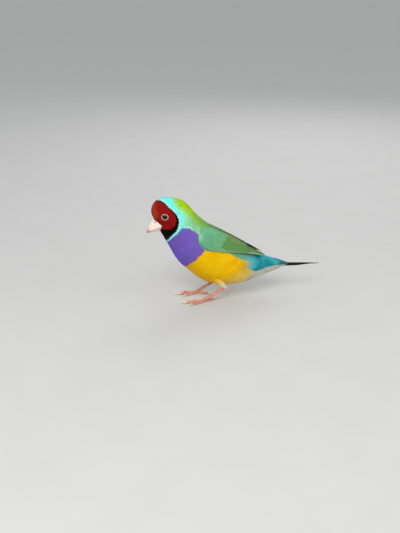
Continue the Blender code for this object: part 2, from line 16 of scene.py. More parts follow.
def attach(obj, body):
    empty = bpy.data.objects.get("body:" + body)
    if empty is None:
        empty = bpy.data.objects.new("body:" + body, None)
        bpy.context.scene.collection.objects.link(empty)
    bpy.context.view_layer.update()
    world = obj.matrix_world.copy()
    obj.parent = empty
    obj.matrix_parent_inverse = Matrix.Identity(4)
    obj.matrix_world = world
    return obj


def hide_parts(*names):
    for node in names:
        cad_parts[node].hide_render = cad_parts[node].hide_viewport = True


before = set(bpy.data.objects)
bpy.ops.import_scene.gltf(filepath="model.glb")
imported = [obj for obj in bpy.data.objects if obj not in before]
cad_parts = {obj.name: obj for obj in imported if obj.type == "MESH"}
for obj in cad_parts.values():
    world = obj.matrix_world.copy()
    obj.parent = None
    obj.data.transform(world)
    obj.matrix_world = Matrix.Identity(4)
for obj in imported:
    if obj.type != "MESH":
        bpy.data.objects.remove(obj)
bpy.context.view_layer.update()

MM = 0.001
SEED = 4107
CHART_STEP = 0.02  # step for the slopes of a surface, in stations and radians

# Photograph's frame: 400 x 533 pixels, 0.7 mm for each pixel at the bird
AZIMUTH, ELEVATION = math.radians(-15.0), math.radians(20.0)
CAMERA_DISTANCE = 550.0
MM_PER_PIXEL = 0.7
IMAGE_WIDTH, IMAGE_HEIGHT = 400.0, 533.0
TARGET = Vector((0.0, 0.0, 36.0))
TARGET_PIXEL = (235.13, 246.47)
SENSOR = 36.0

# Body outline: dorsal x, dorsal z, ventral x, ventral z, half width, pinch beside the bill
BODY = np.array((
    (-57.2, 61.0, -53.6, 53.0, 3.6, 0.15),
    (-58.7, 64.2, -52.6, 50.9, 4.6, 0.40),
    (-58.7, 68.0, -51.6, 49.0, 5.9, 0.45),
    (-56.7, 72.0, -50.6, 47.0, 7.2, 0.42),
    (-53.0, 74.6, -49.6, 45.2, 8.3, 0.28),
    (-48.0, 75.4, -48.6, 43.4, 9.0, 0.10),
    (-42.3, 74.3, -47.4, 41.0, 9.6, 0.0),
    (-37.0, 72.1, -46.2, 38.6, 10.5, 0.0),
    (-32.8, 68.4, -44.8, 35.8, 11.7, 0.0),
    (-28.6, 63.0, -42.6, 31.8, 13.1, 0.0),
    (-23.4, 58.0, -39.3, 27.4, 14.3, 0.0),
    (-17.5, 53.4, -34.5, 22.8, 15.2, 0.0),
    (-10.0, 48.7, -28.0, 16.9, 15.4, 0.0),
    (-2.0, 43.1, -18.5, 11.4, 15.0, 0.0),
    (6.0, 37.0, -6.5, 9.2, 13.7, 0.0),
    (13.5, 31.8, 5.0, 10.2, 11.4, 0.0),
    (20.5, 28.6, 14.0, 12.4, 8.6, 0.0),
    (27.0, 26.0, 22.0, 14.9, 6.0, 0.0),
    (33.0, 24.2, 29.5, 17.0, 4.4, 0.0),
    (38.2, 22.7, 36.6, 18.8, 3.0, 0.0),
    (43.6, 21.6, 42.8, 19.3, 1.9, 0.0),
    (48.6, 20.8, 48.4, 19.5, 1.2, 0.0),
))
PINCH_LEVEL, PINCH_SPREAD = 57.5, 5.0
BODY_END = len(BODY) - 3.0  # the last rows only lead the longest coverts on to the tail
# Wing outline in the same terms, raised at the rear where the folded tips lie over the rump
WING = np.array((
    (-28.6, 63.0, -42.6, 31.8, 13.1, 0.0),
    (-23.4, 58.0, -39.3, 27.4, 14.3, 0.0),
    (-17.5, 53.4, -34.5, 22.8, 15.2, 0.0),
    (-10.0, 48.9, -28.0, 16.9, 15.5, 0.0),
    (-2.0, 44.1, -18.5, 11.4, 15.3, 0.0),
    (6.0, 39.0, -7.0, 9.4, 14.0, 0.0),
    (13.5, 34.5, 4.0, 9.0, 11.4, 0.0),
    (20.0, 30.9, 13.0, 10.0, 9.0, 0.0),
    (27.0, 28.1, 22.0, 12.0, 6.6, 0.0),
))
WING_START = 9.0  # body station of the wing's first one
WING_TUCK, WING_TUCK_SHARES = 0.25, (-0.35, 0.3)  # depth in the coat, and the shares it fades over
TIP_STATIONS = (5.8, 7.2)  # from here on the wing's tip lies free of the coat
# Folded wing along its length: wing station, upper edge degrees, lower edge degrees
WING_OUTLINE = np.array((
    (0.75, 44.0, 58.0),
    (1.15, 32.0, 70.0),
    (2.0, 22.0, 74.5),
    (3.0, 15.0, 66.0),
    (4.0, 10.0, 56.5),
    (5.0, 7.0, 46.5),
    (5.9, 7.0, 38.0),
    (6.6, 11.0, 30.0),
    (7.05, 16.0, 24.0),
))

HEAD_PITCH = math.radians(25.0)
GAPE = np.array((-52.3, 0.0, 55.9))  # middle of the mouth line at its corners
# Bill ahead of the gape: forward, culmen height, mouth height, gonys height, half width
BILL = np.array((
    (-0.4, 6.5, 0.0, -2.7, 4.3),
    (1.6, 5.95, 0.05, -2.4, 4.2),
    (3.4, 5.25, 0.1, -2.1, 3.75),
    (5.2, 4.45, 0.15, -1.75, 3.1),
    (7.0, 3.5, 0.2, -1.35, 2.4),
    (8.7, 2.45, 0.2, -0.9, 1.65),
    (9.9, 1.5, 0.1, -0.5, 1.0),
    (10.8, 0.6, -0.05, -0.55, 0.45),
))
CULMEN_SLANT, GONYS_SLANT = 0.41, 1.1
BILL_FULLNESS = 0.82
NOSTRIL = (2.7, 4.6, 2.75)  # forward, upward, aside
MOUTH_GAP = 0.1

EYE_STATION, EYE_ANGLE = 4.25, 75.0
EYE_RADIUS, EYE_DEPTH = 2.2, 1.4
PUPIL_POLAR = 0.5  # radians from the middle of the eye to the pupil's edge
LID_RADIUS, LID_THICKNESS = 2.02, 0.33

LEGS = {
    "left": {"knee": (-18.0, -9.4, 20.5), "heel": (-9.3, -8.4, 9.6), "ankle": (-24.2, -8.8, 1.9)},
    "right": {"knee": (-19.0, 9.2, 20.5), "heel": (-10.6, 8.0, 9.6), "ankle": (-25.6, 8.0, 1.9)},
}
SIDES = {"left": -1.0, "right": 1.0}
# Share of the way down a thigh, radius of its plumage
THIGH = np.array((
    (0.0, 1.5), (0.1, 2.4), (0.28, 2.9), (0.5, 2.6), (0.72, 2.2), (0.9, 1.9), (1.0, 1.7),
))
SHANK_RADIUS = 1.08
# Toes: degrees outwards from straight ahead, length, reach of the claw
TOES = ((-22.0, 9.2, 3.8), (-2.0, 12.8, 4.8), (21.0, 10.0, 3.8), (-158.0, 8.2, 4.8))
TOE_RADIUS, TOE_LEVEL = 0.78, 0.62
TOE_PADS = (1.25, 1.05, 1.12, 0.92, 1.08, 0.85, 0.72)  # shares of the radius from root to claw
TOE_LIFTS = (1.2, 0.35, 0.0, 0.12, 0.0, 0.12, 0.0)  # above the toe's level, from root to claw
TOE_SCUTES = 2.0  # for each step of a toe's path
SCUTES_SPAN = (0.12, 0.94)
SCUTE_EDGES = (0.0, 0.13, 0.22, 0.35, 0.45, 0.59, 0.69, 0.82, 0.91, 1.0)  # shares of that span


def tone(red, green, blue):
    """A display colour of 0 to 255 as linear light."""
    values = np.array((red, green, blue), float) / 255
    return np.where(values <= 0.04045, values / 12.92, ((values + 0.055) / 1.055) ** 2.4)


RED, HIGHLIGHT_RED = tone(148, 14, 6), tone(190, 66, 42)
BLACK = tone(3, 3, 3)
CYAN, PALE_CYAN, MINT = tone(124, 248, 236), tone(186, 252, 250), tone(156, 246, 204)
LIME, LEAF, MANTLE = tone(176, 216, 8), tone(142, 198, 74), tone(120, 172, 98)
SEA, AQUA, OLIVE = tone(148, 214, 162), tone(108, 178, 134), tone(112, 130, 76)
TURQUOISE, DEEP_TURQUOISE, DARK_TURQUOISE = tone(62, 172, 176), tone(20, 128, 144), tone(30, 84, 88)
PURPLE, VIOLET, WINE = tone(124, 98, 192), tone(134, 106, 226), tone(150, 74, 120)
YELLOW, AMBER, CREAM = tone(255, 204, 0), tone(236, 172, 0), tone(240, 216, 136)
PALE_CREAM, OCHRE, SHADED_WHITE = tone(244, 226, 186), tone(200, 162, 24), tone(206, 202, 184)

# Edges of the markings: degrees from the back, station
MASK_EDGE = ((0, 3.4), (13, 3.7), (30, 4.24), (46, 4.8), (58, 5.49), (66, 6.0), (77, 6.25),
             (87, 6.12), (98, 5.7), (107, 5.0), (112, 4.0), (114, 2.6), (122, 0.6), (135, -1.0),
             (180, -2.0))
BIB_EDGE = ((0, 3.54), (13, 3.88), (31, 4.48), (49, 5.1), (63, 6.2), (72, 6.62), (80, 6.8),
            (95, 6.66), (111, 6.05), (134, 5.2), (155, 4.5), (180, 4.25))
RIM_EDGE = ((0, 5.0), (31, 5.4), (52, 6.3), (61, 7.1), (75, 7.6), (86, 7.3), (98, 7.0),
            (115, 6.35), (130, 5.7), (158, 4.85), (180, 4.6))
BREAST_REAR = ((0, 9.6), (58, 9.8), (64, 10.15), (71, 10.5), (79, 10.95), (89, 10.9),
               (108, 10.7), (133, 10.5), (180, 10.45))
BELLY_REAR = ((0, 14.0), (40, 14.4), (58, 14.7), (85, 15.1), (111, 15.1), (145, 14.9),
              (180, 14.7))
# Edges along the body: station, degrees from the back
BREAST_TOP = ((4.0, 100), (7.0, 89), (7.9, 77), (8.6, 67), (9.0, 64), (9.5, 61), (10.0, 63),
              (10.5, 70), (11.05, 78))
RUMP_LOW = ((13.5, 62), (14.9, 84), (15.4, 90), (16.0, 88), (16.6, 78), (17.4, 74), (19.0, 84))


def table_at(table, t):
    """Rows of a station table at every t, by a Catmull-Rom curve."""
    last = len(table) - 1
    i = np.clip(np.floor(t).astype(int), 0, last - 1)
    f = (t - i)[:, None]
    a, b, c, d = (table[np.clip(i + k, 0, last)] for k in (-1, 0, 1, 2))
    return 0.5 * (2 * b + (c - a) * f + (2 * a - 5 * b + 4 * c - d) * f**2
                  + (3 * b - a - 3 * c + d) * f**3)


def loft(table, t, angle):
    """Points of a loft in millimetres."""
    v = table_at(table, t)
    cos, sin = np.cos(angle), np.sin(angle)
    x = (v[:, 0] + v[:, 2]) / 2 + (v[:, 0] - v[:, 2]) / 2 * cos
    z = (v[:, 1] + v[:, 3]) / 2 + (v[:, 1] - v[:, 3]) / 2 * cos
    level = (z - PINCH_LEVEL) / PINCH_SPREAD
    y = v[:, 4] * sin * (1 - v[:, 5] * np.exp(-level * level))
    return np.stack((x, y, z), 1)


def unit(vectors):
    return vectors / (np.linalg.norm(vectors, axis=1)[:, None] + 1e-9)


def surface_at(place, s, turn, step=CHART_STEP):
    """Points of a surface, with its steps for each unit of its two coordinates."""
    along = (place(s + step, turn) - place(s - step, turn)) / (2 * step)
    around = (place(s, turn + step) - place(s, turn - step)) / (2 * step)
    return place(s, turn), along, around


def loft_frame(table, t, angle):
    """Points of a loft, with its steps for each station and each radian, and its normals."""
    point, along, around = surface_at(lambda s, turn: loft(table, s, turn), t, angle)
    return point, along, around, unit(np.cross(along, around))


def wrapped(angle):
    """An angle brought between minus and plus half a turn."""
    return (angle + math.pi) % (2 * math.pi) - math.pi


def search_tree(points):
    tree = kdtree.KDTree(len(points))
    for i, point in enumerate(points):
        tree.insert(point, i)
    tree.balance()
    return tree


def smooth_curve(knots, spread):
    """A lookup function through knots, rounded off by a running mean."""
    knots = np.array(knots, float)
    fine = np.linspace(knots[0, 0], knots[-1, 0], 400)
    values = np.interp(fine, knots[:, 0], knots[:, 1])
    reach = max(1, int(spread / (fine[1] - fine[0])))
    kernel = np.hanning(2 * reach + 3)[1:-1]
    padded = np.pad(values, reach, mode="edge")
    values = np.convolve(padded, kernel / kernel.sum(), mode="valid")
    return lambda x: np.interp(x, fine, values)


def blend_along(value, stops):
    """Colours that pass from stop to stop, each a place and its colour."""
    places = [place for place, _ in stops]
    return np.stack([np.interp(value, places, [c[k] for _, c in stops]) for k in range(3)], 1)


def step_up(value, low, high):
    """0 below low, 1 above high, smooth between."""
    f = np.clip((value - low) / (high - low), 0, 1)
    return f * f * (3 - 2 * f)


def lattice_noise(points, cell, seed):
    """Smooth random values from -1 to 1, with features of about one cell."""
    size = 32
    values = np.random.default_rng(seed).uniform(-1, 1, (size, size, size))
    q = points / cell
    base = np.floor(q).astype(int)
    f = q - base
    f = f * f * (3 - 2 * f)
    total = np.zeros(len(points))
    for dx in (0, 1):
        for dy in (0, 1):
            for dz in (0, 1):
                weight = (
                    (f[:, 0] if dx else 1 - f[:, 0])
                    * (f[:, 1] if dy else 1 - f[:, 1])
                    * (f[:, 2] if dz else 1 - f[:, 2])
                )
                total += weight * values[
                    (base[:, 0] + dx) % size, (base[:, 1] + dy) % size, (base[:, 2] + dz) % size
                ]
    return total


MASK_AT = smooth_curve(MASK_EDGE, 7)
BIB_AT = smooth_curve(BIB_EDGE, 7)
RIM_AT = smooth_curve(RIM_EDGE, 7)
BREAST_REAR_AT = smooth_curve(BREAST_REAR, 7)
BREAST_TOP_AT = smooth_curve(BREAST_TOP, 0.25)
BELLY_REAR_AT = smooth_curve(BELLY_REAR, 10)
RUMP_LOW_AT = smooth_curve(RUMP_LOW, 0.3)


def edge_distance(curve, t, degrees, per_station, per_degree):
    """Distance in millimetres tailward of an edge that is a function of the angle."""
    edge = curve(degrees)
    slope = (curve(degrees + 2) - curve(degrees - 2)) / 4 * per_station / per_degree
    return (t - edge) * per_station / np.sqrt(1 + slope * slope)


def mix(under, over, share):
    return under + (over - under) * share[:, None]


def layered(colour, *layers):
    """A colour with others laid over it in turn, each given with its share."""
    for over, share in layers:
        colour = mix(colour, over, share)
    return colour


def back_colour(t, degrees, patch):
    """Nape to back: cyan, lime and olive along the middle, cyan, mint and green down the sides."""
    seen = t + 0.25 * patch
    middle = blend_along(seen, (
        (5.2, CYAN), (6.2, LIME), (8.2, LIME), (9.4, LEAF), (10.8, MANTLE), (12.8, OLIVE),
    ))
    flank = blend_along(seen, (
        (5.4, CYAN), (6.8, MINT), (8.8, SEA), (10.2, SEA), (11.4, AQUA), (14.0, AQUA),
    ))
    return mix(flank, middle, step_up(degrees + 6 * patch, 60, 26))


def markings(t, angle, jitter=0.0):
    """Plumage colour at places on the body, in linear light."""
    points, along, around, _ = loft_frame(BODY, t, angle)
    per_station = np.linalg.norm(along, axis=1)
    per_degree = np.maximum(np.linalg.norm(around, axis=1) * math.pi / 180, 0.05)
    degrees = np.abs(np.degrees(angle))
    patch = lattice_noise(points, 5.0, 11)
    grain = lattice_noise(points, 1.3, 12)
    t = t + jitter / np.maximum(per_station, 1.0)

    def beyond(curve):
        return edge_distance(curve, t, degrees, per_station, per_degree)

    rump = layered(
        TURQUOISE,
        (DEEP_TURQUOISE, step_up(patch, -0.5, 0.9)),
        (PALE_CYAN, 0.4 * step_up(t, 15.2, 14.2) * step_up(degrees, 25, 60)),
        (DARK_TURQUOISE, 0.75 * step_up(t + 0.3 * patch, 16.6, 18.6)),
        (DEEP_TURQUOISE, 0.55 * step_up(grain + 0.5 * patch, 0.1, 0.7)),
        (PALE_CYAN,
         0.4 * step_up(grain, 0.45, 0.9) * step_up(t, 16.4, 14.6) * step_up(degrees, 20, 50)),
    )
    colour = mix(back_colour(t, degrees, patch), rump, step_up(t + 0.3 * patch, 13.3, 15.0))

    belly = layered(
        YELLOW,
        (AMBER, 0.4 * step_up(patch, -0.4, 0.9)),
        (OCHRE, 0.8 * step_up(t + 0.4 * patch, 13.2, 14.8) * step_up(degrees, 120, 85)),
        (CREAM, 0.75 * step_up(degrees, 150, 176) * step_up(t, 10.6, 12.2)),
        (CREAM, 0.8 * step_up(t + 0.02 * (degrees - 100), 13.4, 15.2)),
    )
    # The vent and undertail are painted a greyish white, darker than the white feathers, as painted
    # shade under the tail.
    vent = mix(belly, SHADED_WHITE, step_up(t + 0.012 * (degrees - 100), 14.0, 15.0))
    under = np.where(
        degrees[:, None] > 58, mix(belly, vent, step_up(beyond(BELLY_REAR_AT), -2.2, 1.0)), colour
    )
    below = step_up((degrees - 59) * per_degree, -0.8, 0.8)
    is_under = below * step_up(beyond(BREAST_REAR_AT), -1.5, 0)
    above_edge = step_up((RUMP_LOW_AT(t) - degrees) * per_degree, -0.7, 0.7)
    rump_side = above_edge * step_up(t + 0.1 * grain, 14.0, 14.9)

    from_rear = -beyond(BREAST_REAR_AT)
    from_top = (degrees - BREAST_TOP_AT(t)) * per_degree
    breast = layered(
        PURPLE,
        (VIOLET, step_up(degrees + 12 * patch, 120, 170)),
        (VIOLET, 0.4 * step_up(patch, 0, 0.8)),
        (WINE, 0.7 * step_up(from_rear, 1.6, -0.4) * step_up(degrees, 76, 92)),
    )
    inside = np.minimum(np.minimum(from_rear, from_top), beyond(RIM_AT)) + 0.25 * grain
    whitish = step_up(from_top, -1.9, -0.5) * step_up(t, 7.2, 7.8) * step_up(t, 9.2, 8.6)
    rim_share = step_up(beyond(RIM_AT) + 0.2 * grain, 0.4, -0.4)
    crown_fade = step_up(beyond(RIM_AT) + 0.6 * patch, 2.5, -2.0)
    from_bib = beyond(BIB_AT) + 0.12 * grain
    # The front and top of the red mask are painted a paler orange red, a painted highlight where
    # the light falls on the forehead and crown.
    mask = mix(RED, HIGHLIGHT_RED, step_up(t + 0.6 * patch, 4.0, 1.6) * step_up(degrees, 90, 50))
    colour = layered(
        colour,
        (under, is_under * (1 - rump_side)),
        (PALE_CYAN, 0.6 * whitish),
        (breast, step_up(inside, -0.35, 0.35)),
        (CYAN, np.where(degrees > 82, rim_share, crown_fade)),
        (PALE_CYAN, 0.9 * step_up(from_bib, 1.4, 0.6)),
        (BLACK, step_up(from_bib, 0.22, -0.22)),
        (mask, step_up(beyond(MASK_AT) + 0.15 * grain, 0.22, -0.22)),
    )
    return colour * (1 + 0.06 * grain)[:, None]


def link_object(name, data):
    made = bpy.data.objects.new(name, data)
    bpy.context.scene.collection.objects.link(made)
    return made


def new_object(name, points, faces, material):
    """A mesh object from points in millimetres."""
    mesh = bpy.data.meshes.new(name)
    mesh.from_pydata((np.asarray(points, float) * MM).tolist(), [], faces)
    mesh.materials.append(material)
    made = link_object(name, mesh)
    mesh.shade_smooth()
    return made


def closed_object(name, points, faces, material):
    """A mesh object whose faces all look outwards."""
    made = new_object(name, points, faces, material)
    work = bmesh.new()
    work.from_mesh(made.data)
    bmesh.ops.recalc_face_normals(work, faces=work.faces)
    work.to_mesh(made.data)
    work.free()
    return made


def ring_faces(rings, segments, closed=False):
    """Faces from each ring of points to the next, and from the last to the first where closed."""
    return [
        (r * segments + k, r * segments + (k + 1) % segments,
         (r + 1) % rings * segments + (k + 1) % segments, (r + 1) % rings * segments + k)
        for r in range(rings if closed else rings - 1)
        for k in range(segments)
    ]


def end_faces(rings, segments):
    """A face over the first ring of points and one over the last."""
    last = (rings - 1) * segments
    return [tuple(range(segments)), tuple(range(last, last + segments))]


def bulk_object(name, points, normals, quads, triangles, material):
    """A mesh object from large arrays of points in millimetres, with its faces to the normals."""
    first, second, last = (points[quads[:, k]] for k in (0, 1, 3))
    facing = np.cross(second - first, last - first)
    if (facing * normals[quads[:, 0]]).sum() < 0:
        quads, triangles = quads[:, ::-1], triangles[:, ::-1]
    mesh = bpy.data.meshes.new(name)
    corners = np.concatenate((quads.ravel(), triangles.ravel())).astype(np.int32)
    sizes = np.concatenate((np.full(len(quads), 4), np.full(len(triangles), 3)))
    starts = np.concatenate(((0,), np.cumsum(sizes)[:-1])).astype(np.int32)
    mesh.vertices.add(len(points))
    mesh.vertices.foreach_set("co", (points * MM).astype(np.float32).ravel())
    mesh.loops.add(len(corners))
    mesh.loops.foreach_set("vertex_index", corners)
    mesh.polygons.add(len(sizes))
    mesh.polygons.foreach_set("loop_start", starts)
    mesh.update(calc_edges=True)
    mesh.materials.append(material)
    made = link_object(name, mesh)
    mesh.shade_smooth()
    own = np.zeros(len(points) * 3, np.float32)
    mesh.vertex_normals.foreach_get("vector", own)
    soft = (1 - COAT_SOFTNESS) * own.reshape(-1, 3) + COAT_SOFTNESS * normals
    mesh.normals_split_custom_set_from_vertices(unit(soft))
    return made, corners


def paint(mesh, colours):
    """Stores a linear colour on every vertex, read by the feather and skin materials."""
    layer = mesh.color_attributes.new("Tint", "FLOAT_COLOR", "POINT")
    values = np.ones((len(colours), 4), np.float32)
    values[:, :3] = np.clip(colours, 0, 1)
    layer.data.foreach_set("color", values.ravel())


def map_corners(mesh, name, places, corners):
    """A UV map from one place for each vertex."""
    layer = mesh.uv_layers.new(name=name)
    layer.data.foreach_set("uv", places[corners].astype(np.float32).ravel())


TUFT_PATCH = 0.003  # size of a feather on the OFBake map
VANE_STEPS = 60  # whole steps by which one feather's map may differ from another's
COAT_SOFTNESS = 0.72  # how far a feather is shaded by the body's own shape
# Shares of a feather's length at which its barbs part and bend, their width and their ruffle
BARB_START, BARB_BEND, BARB_WIDTH, BARB_LIFT = 0.5, 0.8, 0.72, 0.012


def tuft_template(strips):
    """Across and along shares and barb of a feather's vertices, and its quads and triangles."""
    columns = strips + 1
    across = list(np.linspace(-1, 1, columns)) * 2
    along = [0.0] * columns + [BARB_START] * columns
    barb = [-1] * (2 * columns)
    quads = [(c, c + 1, columns + c + 1, columns + c) for c in range(strips)]
    triangles = []
    for c in range(strips):
        middle = -1 + (2 * c + 1) / strips
        first = len(across)
        across += [middle - BARB_WIDTH / strips, middle + BARB_WIDTH / strips, middle]
        along += [BARB_BEND, BARB_BEND, 1.0]
        barb += [c] * 3
        quads.append((columns + c, columns + c + 1, first + 1, first))
        triangles.append((first, first + 1, first + 2))
    return np.array(across), np.array(along), np.array(barb), np.array(quads), np.array(triangles)


def for_barbs(values, barb):
    """One value for each barb spread over the vertices, with 0 where the vane is whole."""
    return np.where(barb[None, :] >= 0, values[:, np.maximum(barb, 0)], 0.0)


def tuft_field(name, chart, t, angle, size, material, rng, paint_at, strips, roots):
    """Feathers on a chart as one mesh, each a vane that parts into tapered barbs.

    size has each feather's length, half width, root and tip height, lie and cup. roots has the
    two places of each root on an unwrap of the skin, where its patch of the OFBake map lies.
    """
    length, half, low, high, lie, cup = size
    count = len(t)
    across, along, barb, quads, triangles = tuft_template(strips)
    verts = len(across)
    _, step_t, step_a, _ = chart(t, angle)
    per_t = np.maximum(np.linalg.norm(step_t, axis=1), 0.8)[:, None]
    per_a = np.maximum(np.linalg.norm(step_a, axis=1), 0.8)[:, None]
    growth = 1 + for_barbs(rng.uniform(-0.16, 0.06, (count, strips)), barb)
    reach = along[None, :] * (1 - 0.22 * across[None, :] ** 2) * growth * length[:, None]
    swell = np.interp(along, (0, BARB_START, BARB_BEND, 1), (0.5, 1.0, 1.0, 0.94))
    sway = for_barbs(rng.normal(0, 0.09, (count, strips)), barb) * (along[None, :] - BARB_START) * 2
    aside = (across[None, :] * swell[None, :] + sway) * half[:, None]
    cos, sin = np.cos(lie)[:, None], np.sin(lie)[:, None]
    vt = t[:, None] + (reach * cos - aside * sin) / per_t
    va = angle[:, None] + (reach * sin + aside * cos) / per_a
    rise = along[None, :] ** 0.7
    lift = for_barbs(rng.normal(0, BARB_LIFT, (count, strips)), barb) * length[:, None]
    height = low[:, None] + (high - low)[:, None] * rise + lift
    height = height - cup[:, None] * across[None, :] ** 2 * rise
    points, _, _, normals = chart(vt.ravel(), va.ravel())
    points = points + normals * height.ravel()[:, None]
    offset = (np.arange(count) * verts)[:, None, None]
    all_quads = (quads[None] + offset).reshape(-1, 4)
    all_triangles = (triangles[None] + offset).reshape(-1, 3)
    made, corners = bulk_object(name, points, normals, all_quads, all_triangles, material)

    middle = 0.8 * length[:, None]
    seen_t = (0.5 * vt + 0.5 * (t[:, None] + middle * cos / per_t)).ravel()
    seen_a = (0.5 * va + 0.5 * (angle[:, None] + middle * sin / per_a)).ravel()
    jitter = np.repeat(rng.normal(0, 0.16, count), verts)
    colours = paint_at(seen_t, seen_a, jitter)
    # Each feather is painted darker towards its root, partly for its grey down base and partly as
    # painted shade under the feathers that overlap it; each feather and each barb also gets a
    # random tone.
    shade = rng.normal(1, 0.03, count)[:, None] * (0.86 + 0.14 * step_up(along, 0, 0.6))[None, :]
    shade = shade + for_barbs(rng.normal(0, 0.06, (count, strips)), barb)
    paint(made.data, colours * shade.ravel()[:, None])

    steps = rng.integers(0, VANE_STEPS, (count, 1, 2)) * 2.0
    places = np.stack((across, along), 1)[None] + steps
    map_corners(made.data, "Vane", places.reshape(-1, 2), corners)
    patch = np.stack((across * 0.5, along - 0.5), 1)[None] * TUFT_PATCH
    places = np.clip(np.stack(roots, 1)[:, None, :] + patch, 0.001, 0.999)
    map_corners(made.data, "OFBake", places.reshape(-1, 2), corners)
    return made


# Rise of the back's plumage between the folded wings, at stations, and the degrees it fades over
BACK_RISE = ((11.0, 0.0), (12.0, 0.2), (13.0, 1.0), (14.0, 1.8), (14.8, 1.4), (15.8, 0.0))
RISE_FADE = (36.0, 16.0)


def back_rise(t, angle):
    """How far the plumage between the wings stands above the body's outline."""
    stations, rises = zip(*BACK_RISE)
    degrees = np.degrees(np.abs(wrapped(angle)))
    return np.interp(t, stations, rises) * step_up(-degrees, -RISE_FADE[0], -RISE_FADE[1])


def body_chart(t, angle):
    """The body with its raised back as a chart, held at its last rows."""
    point, along, around, normal = loft_frame(BODY, np.minimum(t, BODY_END + 1.2), angle)
    return point + normal * back_rise(t, angle)[:, None], along, around, normal


def bill_axes():
    ahead = np.array((-math.cos(HEAD_PITCH), 0.0, -math.sin(HEAD_PITCH)))
    above = np.array((-math.sin(HEAD_PITCH), 0.0, math.cos(HEAD_PITCH)))
    return ahead, above


def covered_by_bill(points):
    """True where a place on the face lies in the bill's base."""
    ahead, above = bill_axes()
    offset = points - GAPE
    forward, upward = offset @ ahead, offset @ above
    row = np.interp(forward, BILL[:, 0], BILL[:, 4])
    culmen = np.interp(forward, BILL[:, 0], BILL[:, 1])
    gonys = -np.interp(forward, BILL[:, 0], BILL[:, 3])
    reach = np.where(upward > 0, upward / culmen, -upward / gonys)
    within = (np.abs(points[:, 1]) / row) ** 2 + reach**2 < 1.0
    line = -0.4 + np.where(upward > 0, CULMEN_SLANT * upward, -GONYS_SLANT * upward)
    return within & (forward > line - 0.1)


def eye_place(side):
    """Skin point and outward normal at one eye."""
    point, _, _, normal = loft_frame(BODY, np.array([EYE_STATION]), np.radians([EYE_ANGLE * side]))
    return point[0], normal[0]


def arc_share(t):
    """Share of the body's length at each station, for the unwrap of the skin."""
    return 0.02 + 0.96 * t / BODY_END


def node_material(name, roughness=0.6, **sockets):
    material = bpy.data.materials.new(name)
    material.use_nodes = True
    tree = material.node_tree
    shader = tree.nodes["Principled BSDF"]
    shader.inputs["Roughness"].default_value = roughness
    for key, value in sockets.items():
        shader.inputs[key.replace("_", " ")].default_value = value
    return material, tree, shader


def add_node(tree, kind, **values):
    node = tree.nodes.new(kind)
    for key, value in values.items():
        setattr(node, key, value)
    return node


def add_noise(tree, vector, scale, detail=2.0):
    """The value of a noise over a vector."""
    noise = add_node(tree, "ShaderNodeTexNoise")
    noise.inputs["Scale"].default_value = scale
    noise.inputs["Detail"].default_value = detail
    tree.links.new(vector, noise.inputs["Vector"])
    return noise.outputs["Fac"]


def tint_by(tree, shader, share):
    """Base colour from the vertices' tint times a share."""
    tint = add_node(tree, "ShaderNodeVertexColor", layer_name="Tint")
    scale = add_node(tree, "ShaderNodeVectorMath", operation="SCALE")
    tree.links.new(tint.outputs["Color"], scale.inputs[0])
    tree.links.new(share, scale.inputs["Scale"])
    tree.links.new(scale.outputs["Vector"], shader.inputs["Base Color"])


def tint_and_relief(tree, shader, noise, spans, strength, depth):
    """Tint and relief by one noise. spans has the noise's low and high, and the tint's."""
    spread = add_node(tree, "ShaderNodeMapRange")
    for key, value in zip(("From Min", "From Max", "To Min", "To Max"), spans):
        spread.inputs[key].default_value = value
    tree.links.new(noise, spread.inputs["Value"])
    tint_by(tree, shader, spread.outputs["Result"])
    bump = add_node(tree, "ShaderNodeBump")
    bump.inputs["Strength"].default_value = strength
    bump.inputs["Distance"].default_value = depth * MM
    tree.links.new(noise, bump.inputs["Height"])
    tree.links.new(bump.outputs["Normal"], shader.inputs["Normal"])


def feather_material(name, streaks, roughness, sheen):
    """Tint from the vertices, with fine barbs along each vane in tone and relief."""
    material, tree, shader = node_material(
        name, roughness, Sheen_Weight=sheen, Sheen_Roughness=0.5, Specular_IOR_Level=0.09
    )
    vane = add_node(tree, "ShaderNodeUVMap", uv_map="Vane")
    stretch = add_node(tree, "ShaderNodeMapping")
    stretch.inputs["Scale"].default_value = (streaks, 1.6, 1.0)
    tree.links.new(vane.outputs["UV"], stretch.inputs["Vector"])
    noise = add_noise(tree, stretch.outputs["Vector"], 2.0, 3.0)
    tint_and_relief(tree, shader, noise, (0.25, 0.75, 0.82, 1.16), 0.35, 0.05)
    return material


def skin_material(name, roughness, cell, strength, weight=0.0):
    """Tint from the vertices with a fine pebbled relief."""
    material, tree, shader = node_material(
        name, roughness, Subsurface_Weight=weight, Subsurface_Scale=0.6 * MM,
        Subsurface_Radius=(1.0, 0.5, 0.35),
    )
    coords = add_node(tree, "ShaderNodeTexCoord")
    noise = add_noise(tree, coords.outputs["Object"], 1 / (cell * MM), 4.0)
    tint_and_relief(tree, shader, noise, (0.3, 0.7, 0.88, 1.1), strength, 0.08)
    return material


def eye_material():
    """Wet and almost smooth, with the iris finely mottled."""
    material, tree, shader = node_material("eye_wet", 0.05, Specular_IOR_Level=0.28)
    coords = add_node(tree, "ShaderNodeTexCoord")
    tint_by(tree, shader, add_noise(tree, coords.outputs["Object"], 2200.0))
    return material


